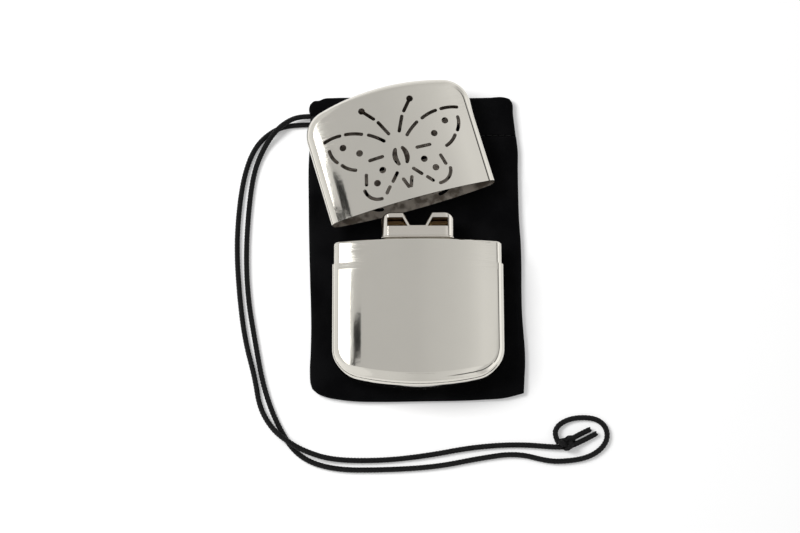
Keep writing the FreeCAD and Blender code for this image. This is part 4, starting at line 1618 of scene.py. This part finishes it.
    def _stitches(self, side: Side) -> bpy.types.Object:
        """A row of stitches along the hem: each a short thread whose height is half a sine wave.

        Args:
            side: Side of the pouch.

        Returns:
            The piece.
        """
        points, sides = self.stitch_points, self.thread_sides
        first, last = self.stitch_row
        starts = np.arange(first, last - self.stitch_length, self.stitch_pitch)
        share = np.linspace(0, 1, points)
        outward = 1.0 if side is Side.FRONT else -1.0
        arch = self.stitch_low + self.stitch_arch * np.sin(math.pi * share)
        spots, faces = [], []
        for number, start in enumerate(starts):
            sway = self.stitch_sway * math.sin(self.stitch_sway_turn * number)
            line = np.stack(
                [
                    start + share * self.stitch_length,
                    np.full(points, self.seam_line + sway),
                    self.middle + outward * arch,
                ],
                axis=1,
            )
            new_spots, new_faces = tube(line * MM, self.thread / 2 * MM, sides, closed=False)
            faces += [group + number * points * sides for group in new_faces]
            spots.append(new_spots)
        piece = mesh_piece(f"hem_{side.value}_stitches", np.concatenate(spots), faces)
        along = np.tile(np.repeat(share * self.stitch_length, sides), len(starts))
        around = np.tile(np.arange(sides) / sides, points * len(starts))
        StrandMap.write(piece.data, np.stack([along, around], axis=1))
        return piece


# Height of the cord's middle where it lies on the table.
FLOOR = 1.15

# Control points of the two strands, from the hem to the knot, and of the two tails.
INNER_ROUTE = [
    (-42.3, 55.0, 2.95), (-46.6, 55.0, 2.95), (-51.4, 52.8, 3.9), (-56.3, 48.8, 3.7), (-61.0, 42.4, 1.6),
    (-65.0, 32.5, FLOOR), (-66.9, 18.0, FLOOR), (-67.9, -2.0, FLOOR), (-66.9, -21.0, FLOOR),
    (-63.7, -39.5, FLOOR), (-60.2, -58.0, FLOOR), (-54.6, -73.2, FLOOR), (-46.6, -85.8, FLOOR),
    (-33.0, -91.0, FLOOR), (-13.0, -91.2, FLOOR), (8.0, -90.0, FLOOR), (25.0, -86.6, FLOOR),
    (39.5, -84.6, FLOOR), (52.0, -88.0, FLOOR), (59.2, -87.9, FLOOR), (66.4, -86.8, FLOOR),
    (71.9, -84.0, FLOOR), (75.3, -79.6, FLOOR), (75.1, -74.6, FLOOR), (71.6, -71.1, FLOOR),
    (65.9, -70.3, FLOOR), (60.4, -71.0, FLOOR), (56.0, -73.4, 1.4), (54.2, -77.2, 2.0), (55.9, -80.9, 2.7),
]
OUTER_ROUTE = [
    (-42.3, 52.0, 1.25), (-49.0, 52.0, 1.25), (-56.6, 50.2, FLOOR), (-64.2, 43.6, FLOOR),
    (-68.6, 32.5, FLOOR), (-70.8, 18.0, FLOOR), (-71.7, 0.0, FLOOR), (-70.3, -20.0, FLOOR),
    (-67.8, -38.5, FLOOR), (-63.6, -54.0, FLOOR), (-61.7, -66.0, FLOOR), (-56.6, -74.8, 2.4),
    (-51.0, -79.9, 4.6), (-44.2, -84.0, 4.4), (-33.0, -87.2, 1.5), (-14.0, -87.5, FLOOR),
    (4.0, -85.6, FLOOR), (22.0, -82.2, FLOOR), (40.0, -81.0, FLOOR), (56.4, -82.6, 1.6), (57.8, -82.3, 2.0),
]
TAIL_A_ROUTE = [(61.0, -79.3, 2.4), (64.8, -77.0, 1.7), (68.6, -75.2, FLOOR)]
TAIL_B_ROUTE = [(60.9, -82.0, 2.2), (66.4, -79.5, 1.5), (71.0, -76.8, FLOOR)]


@dataclass
class Drawstring:
    """Black braided cord: two free strands, one knot that ties them, and their two cut ends."""

    diameter: float = 2.2
    inner_length: float = 316.0
    outer_length: float = 263.0
    braid: Braid = field(default_factory=Braid)
    knot_braid: Braid = field(default_factory=lambda: Braid(radius=0.78 * MM))
    knot_middle: Point = (59.3, -81.2, 2.65)
    knot_size: Point = (7.4, 5.8, 5.2)
    knot_turn: float = math.radians(12.0)
    knot_points: int = 400
    curve_steps: int = 40

    def build(self) -> list[bpy.types.Object]:
        """Makes the two strands, the knot and the ends.

        Returns:
            The new pieces.
        """
        knot = self._knot()
        tails = [
            self._tail("cord_tail_a_end", TAIL_A_ROUTE, "cord_tail_a"),
            self._tail("cord_tail_b_end", TAIL_B_ROUTE, "cord_tail_b"),
        ]
        inner_path = self._route(INNER_ROUTE)
        outer_path = self._route(OUTER_ROUTE)
        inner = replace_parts(self.braid.build("cord_inner_braid", inner_path), "cord_inner")
        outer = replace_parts(self.braid.build("cord_outer_braid", outer_path), "cord_outer")
        pieces = [knot, *tails, inner, outer]
        BlackThread("black braid").lay_on(*pieces)
        for piece in pieces:
            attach(piece, "pouch")
        return pieces

    def _route(self, route: Sequence[Point]) -> Points:
        """Evenly spaced points of the smooth line that a route's points control.

        Args:
            route: Control points in millimetres.

        Returns:
            Points in metres, about one braid step apart.
        """
        curve = bpy.data.curves.new("route", "CURVE")
        curve.dimensions = "3D"
        curve.resolution_u = self.curve_steps
        spline = curve.splines.new("NURBS")
        spline.points.add(len(route) - 1)
        for point, place in zip(spline.points, route):
            point.co = (*(value * MM for value in place), 1.0)
        spline.order_u = 3
        spline.use_endpoint_u = True
        holder = bpy.data.objects.new("route", curve)
        mesh = bpy.data.meshes.new_from_object(holder)
        spots = np.empty(len(mesh.vertices) * 3)
        mesh.vertices.foreach_get("co", spots)
        spots = spots.reshape(-1, 3)
        bpy.data.objects.remove(holder)
        bpy.data.curves.remove(curve)
        bpy.data.meshes.remove(mesh)
        length = lengths_along(spots)[-1]
        return points_at(spots, np.linspace(0, length, round(length / self.braid.step)))

    def _tail(self, name: str, route: Sequence[Point], node: str) -> bpy.types.Object:
        """A cut end of the cord, in place of its node."""
        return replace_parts(self.braid.build(name, self._route(route)), node)

    def _knot(self) -> bpy.types.Object:
        """An overhand knot pulled tight.

        Its line is the three-lobed loop that goes round once as it winds twice: the sine of t and of 2t
        across, their cosines up, and the sine of 3t in height, pressed into the size of the knot.

        Returns:
            The piece.
        """
        tight = self.knot_braid
        reach = tight.radius + tight.swing + tight.half_height
        t = np.linspace(0, TURN, self.knot_points, endpoint=False)
        loop = np.stack(
            [np.sin(t) + 2 * np.sin(2 * t), np.cos(t) - 2 * np.cos(2 * t), -np.sin(3 * t)], axis=1
        )
        low, high = loop.min(axis=0), loop.max(axis=0)
        room = np.array(self.knot_size) * MM - 2 * reach
        loop = (loop - (low + high) / 2) / (high - low) * room
        ring = np.vstack([loop, loop[:1]])
        length = lengths_along(ring)[-1]
        even = points_at(ring, np.linspace(0, length, round(length / tight.step), endpoint=False))
        turn = np.array(Matrix.Rotation(self.knot_turn, 3, "Z"))
        placed = even @ turn.T + np.array(self.knot_middle) * MM
        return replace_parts(tight.build("cord_knot_braid", placed, closed=True), "cord_knot")


# ---------------------------------------------------------------------------------------------------------
# The studio
# ---------------------------------------------------------------------------------------------------------


@dataclass(frozen=True)
class Lamp:
    """A rectangular soft lamp that points at the object, with its length along Y."""

    name: str
    place: Point
    width: float
    length: float
    power: float
    in_mirrors: bool

    def build(self) -> None:
        """Puts the lamp in its place and turns its face to the object."""
        light = bpy.data.lights.new(self.name, "AREA")
        light.shape = "RECTANGLE"
        light.size = self.width
        light.size_y = self.length
        light.energy = self.power
        lamp = bpy.data.objects.new(self.name, light)
        away = Vector(self.place).normalized()
        along = Vector((0.0, 1.0, 0.0))
        along = (along - away * along.dot(away)).normalized()
        pose = Matrix((along.cross(away), along, away)).transposed().to_4x4()
        pose.translation = Vector(self.place)
        lamp.matrix_world = pose
        lamp.visible_glossy = self.in_mirrors
        bpy.context.scene.collection.objects.link(lamp)


@dataclass(frozen=True)
class Card:
    """A level black card that is seen in mirrors only, as the stands beside a lamp are."""

    name: str
    low: Point
    high: Point

    def build(self) -> None:
        """Makes the card between its low and high corners."""
        (left, near, height), (right, far, _) = self.low, self.high
        corners = np.array([(left, near), (right, near), (right, far), (left, far)])
        spots = np.column_stack([corners, np.full(4, height)])
        card = mesh_piece(self.name, spots, [np.arange(4)[None, :]])
        BlackCard("black card").lay_on(card)
        for kind in ("camera", "diffuse", "transmission", "volume_scatter", "shadow"):
            setattr(card, "visible_" + kind, False)


@dataclass(frozen=True)
class BlackCard(Finish):
    """Black flock that gives almost nothing back."""

    black: Colour = (0.01, 0.01, 0.01)

    def shader(self, board: Board) -> Wire:
        """A diffuse surface of one black."""
        return board.node("BsdfDiffuse", None, {"Color": self.black})


@dataclass
class Studio:
    """White table, pale surroundings, soft lamps and a long lens from above.

    A place in the surroundings is a part of the unit direction in which a mirror looks, and each step
    between two places is where one wall blurs into the next.
    """

    lens: float = 112.054
    sensor: float = 36.0
    distance: float = 1.0
    clip: tuple[float, float] = (0.01, 20.0)
    elevation: float = math.radians(74.0)
    roll: float = math.radians(0.22591)
    target: Point = (-6.0354 * MM, -7.8647 * MM, 0.0)
    table_half: float = 3.0
    table_drop: float = 0.05 * MM
    room_light: float = 0.42
    lamps: tuple[Lamp, ...] = (
        Lamp("strip softbox", (-0.542, 0.260, 0.860), 0.100, 0.145, 0.14, True),
        Lamp("shadow softbox", (-0.58, 0.17, 0.79), 0.45, 0.45, 7.1, False),
    )
    cards: tuple[Card, ...] = (
        Card("lamp stand", (-0.453, 0.180, 0.860), (-0.392, 0.214, 0.860)),
        Card("lamp foot", (-0.640, 0.166, 0.860), (-0.440, 0.181, 0.860)),
    )
    across: tuple[tuple[float, float], ...] = (
        (-1.0, 1.05), (-0.80, 0.92), (-0.62, 0.86), (-0.53, 0.85), (-0.455, 0.84), (-0.425, 0.70),
        (-0.40, 0.675), (0.0, 0.675), (0.12, 0.72), (0.25, 0.76), (0.36, 0.82), (0.41, 0.88),
        (0.46, 0.94), (0.53, 0.93), (0.548, 0.72), (0.62, 0.68), (0.70, 0.75), (0.78, 1.15),
        (0.90, 1.30), (1.0, 1.30),
    )
    near: Step = (0.12, -0.10)
    near_left: Step = (0.10, -0.30)
    near_lift: tuple[float, float] = (0.12, 0.07)
    behind: Step = (0.86, 0.97)
    behind_level: float = 0.92
    gap_sides: tuple[Step, Step, Step, Step] = ((0.50, 0.54), (0.67, 0.63), (0.25, 0.42), (0.62, 0.52))
    gap_dark: float = 0.85
    camera_middle: tuple[float, float] = (0.03, -0.19)
    camera_half: tuple[float, float] = (0.13, 0.06)
    camera_edges: tuple[Step, Step, Step] = ((1.1, 0.8), (1.2, 0.8), (0.0, 0.5))
    camera_dark: float = 0.7

    def build(self) -> None:
        """Makes the table, the surroundings, the lamps and the camera."""
        self._table()
        self._room()
        for thing in (*self.lamps, *self.cards):
            thing.build()
        self._camera()
        bpy.context.scene.view_settings.view_transform = "Standard"

    def _table(self) -> None:
        """A large flat table just below the object."""
        half = self.table_half
        corners = np.array([(-half, -half), (half, -half), (half, half), (-half, half)])
        spots = np.column_stack([corners, np.full(4, -self.table_drop)])
        table = mesh_piece("table", spots, [np.arange(4)[None, :]])
        TableTop("white table").lay_on(table)

    def _room(self) -> None:
        """Surroundings that are white to the eye, and shaded walls, windows and gaps in mirrors."""
        world = bpy.data.worlds.new("studio")
        bpy.context.scene.world = world
        world.use_nodes = True
        board = Board(world.node_tree)
        seen = board.node("LightPath", None, None, "Is Camera Ray")
        mirrored = seen.other("Is Glossy Ray")
        strength = board.math("MULTIPLY", looking_rays(board), 1.0 - mirrored)
        strength = strength + mirrored * self._in_mirrors(board)
        strength = strength + (1.0 - looking_rays(board)) * self.room_light
        shader = board.node("Background", None, {"Color": (1.0, 1.0, 1.0), "Strength": strength})
        board.node("OutputWorld", None, {"Surface": shader})

    def _in_mirrors(self, board: Board) -> Wire:
        """Level of the surroundings in mirrors, by the direction in which a mirror looks.

        The level across comes from the list of stops. It is lighter far behind the object and in front of
        it, the camera and its arm are dark, and so is a gap half way up at the right.

        Args:
            board: Board of the world.

        Returns:
            The level, where 1 is white.
        """
        side, far, height = board.split(board.node("TexCoord", None, None, "Generated"))
        stops = [(0.5 + 0.5 * place, (level / 2,) * 3) for place, level in self.across]
        level = board.node("ValToRGB", {"stops": stops}, {"Fac": side * 0.5 + 0.5}) * 2.0
        near = far.rise(*self.near)
        level = level + near * side.rise(*self.near_left) * self.near_lift[0] + near * self.near_lift[1]
        level = level + (self.behind_level - level) * far.rise(*self.behind)
        bottom, top, left, back = self.gap_sides
        gap = height.rise(*bottom) * height.rise(*top) * side.rise(*left) * far.rise(*back)
        beside = ((side - self.camera_middle[0]) / self.camera_half[0]).size()
        beyond = ((far - self.camera_middle[1]) / self.camera_half[1]).size()
        wide, deep, high = self.camera_edges
        camera = beside.rise(*wide) * beyond.rise(*deep) * height.rise(*high)
        return level * (1.0 - self.gap_dark * gap) * (1.0 - self.camera_dark * camera)

    def _camera(self) -> None:
        """The camera looks down at the elevation and is rolled about its own axis."""
        lens = bpy.data.cameras.new("camera")
        lens.lens = self.lens
        lens.sensor_width = self.sensor
        lens.clip_start, lens.clip_end = self.clip
        camera = bpy.data.objects.new("camera", lens)
        bpy.context.scene.collection.objects.link(camera)
        back = Vector((0.0, -math.cos(self.elevation), math.sin(self.elevation)))
        level = Vector((1.0, 0.0, 0.0))
        up = back.cross(level)
        right = level * math.cos(self.roll) - up * math.sin(self.roll)
        above = level * math.sin(self.roll) + up * math.cos(self.roll)
        pose = Matrix((right, above, back)).transposed().to_4x4()
        pose.translation = Vector(self.target) + back * self.distance
        camera.matrix_world = pose
        bpy.context.scene.camera = camera


def main() -> None:
    """Builds the studio, the cord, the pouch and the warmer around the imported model."""
    logging.basicConfig(level=logging.INFO, format="%(name)s: %(message)s")
    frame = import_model()
    nodes = frame["nodes"]
    Studio().build()
    pieces = Drawstring().build()
    pieces += Pouch().build(nodes)
    pieces += Tank().build(nodes)
    pieces += Burner().build(nodes)
    Cap().build(nodes)
    for piece in pieces:
        LOG.info("%s: %d faces", piece.name, len(piece.data.polygons))


if __name__ == "__main__":
    main()
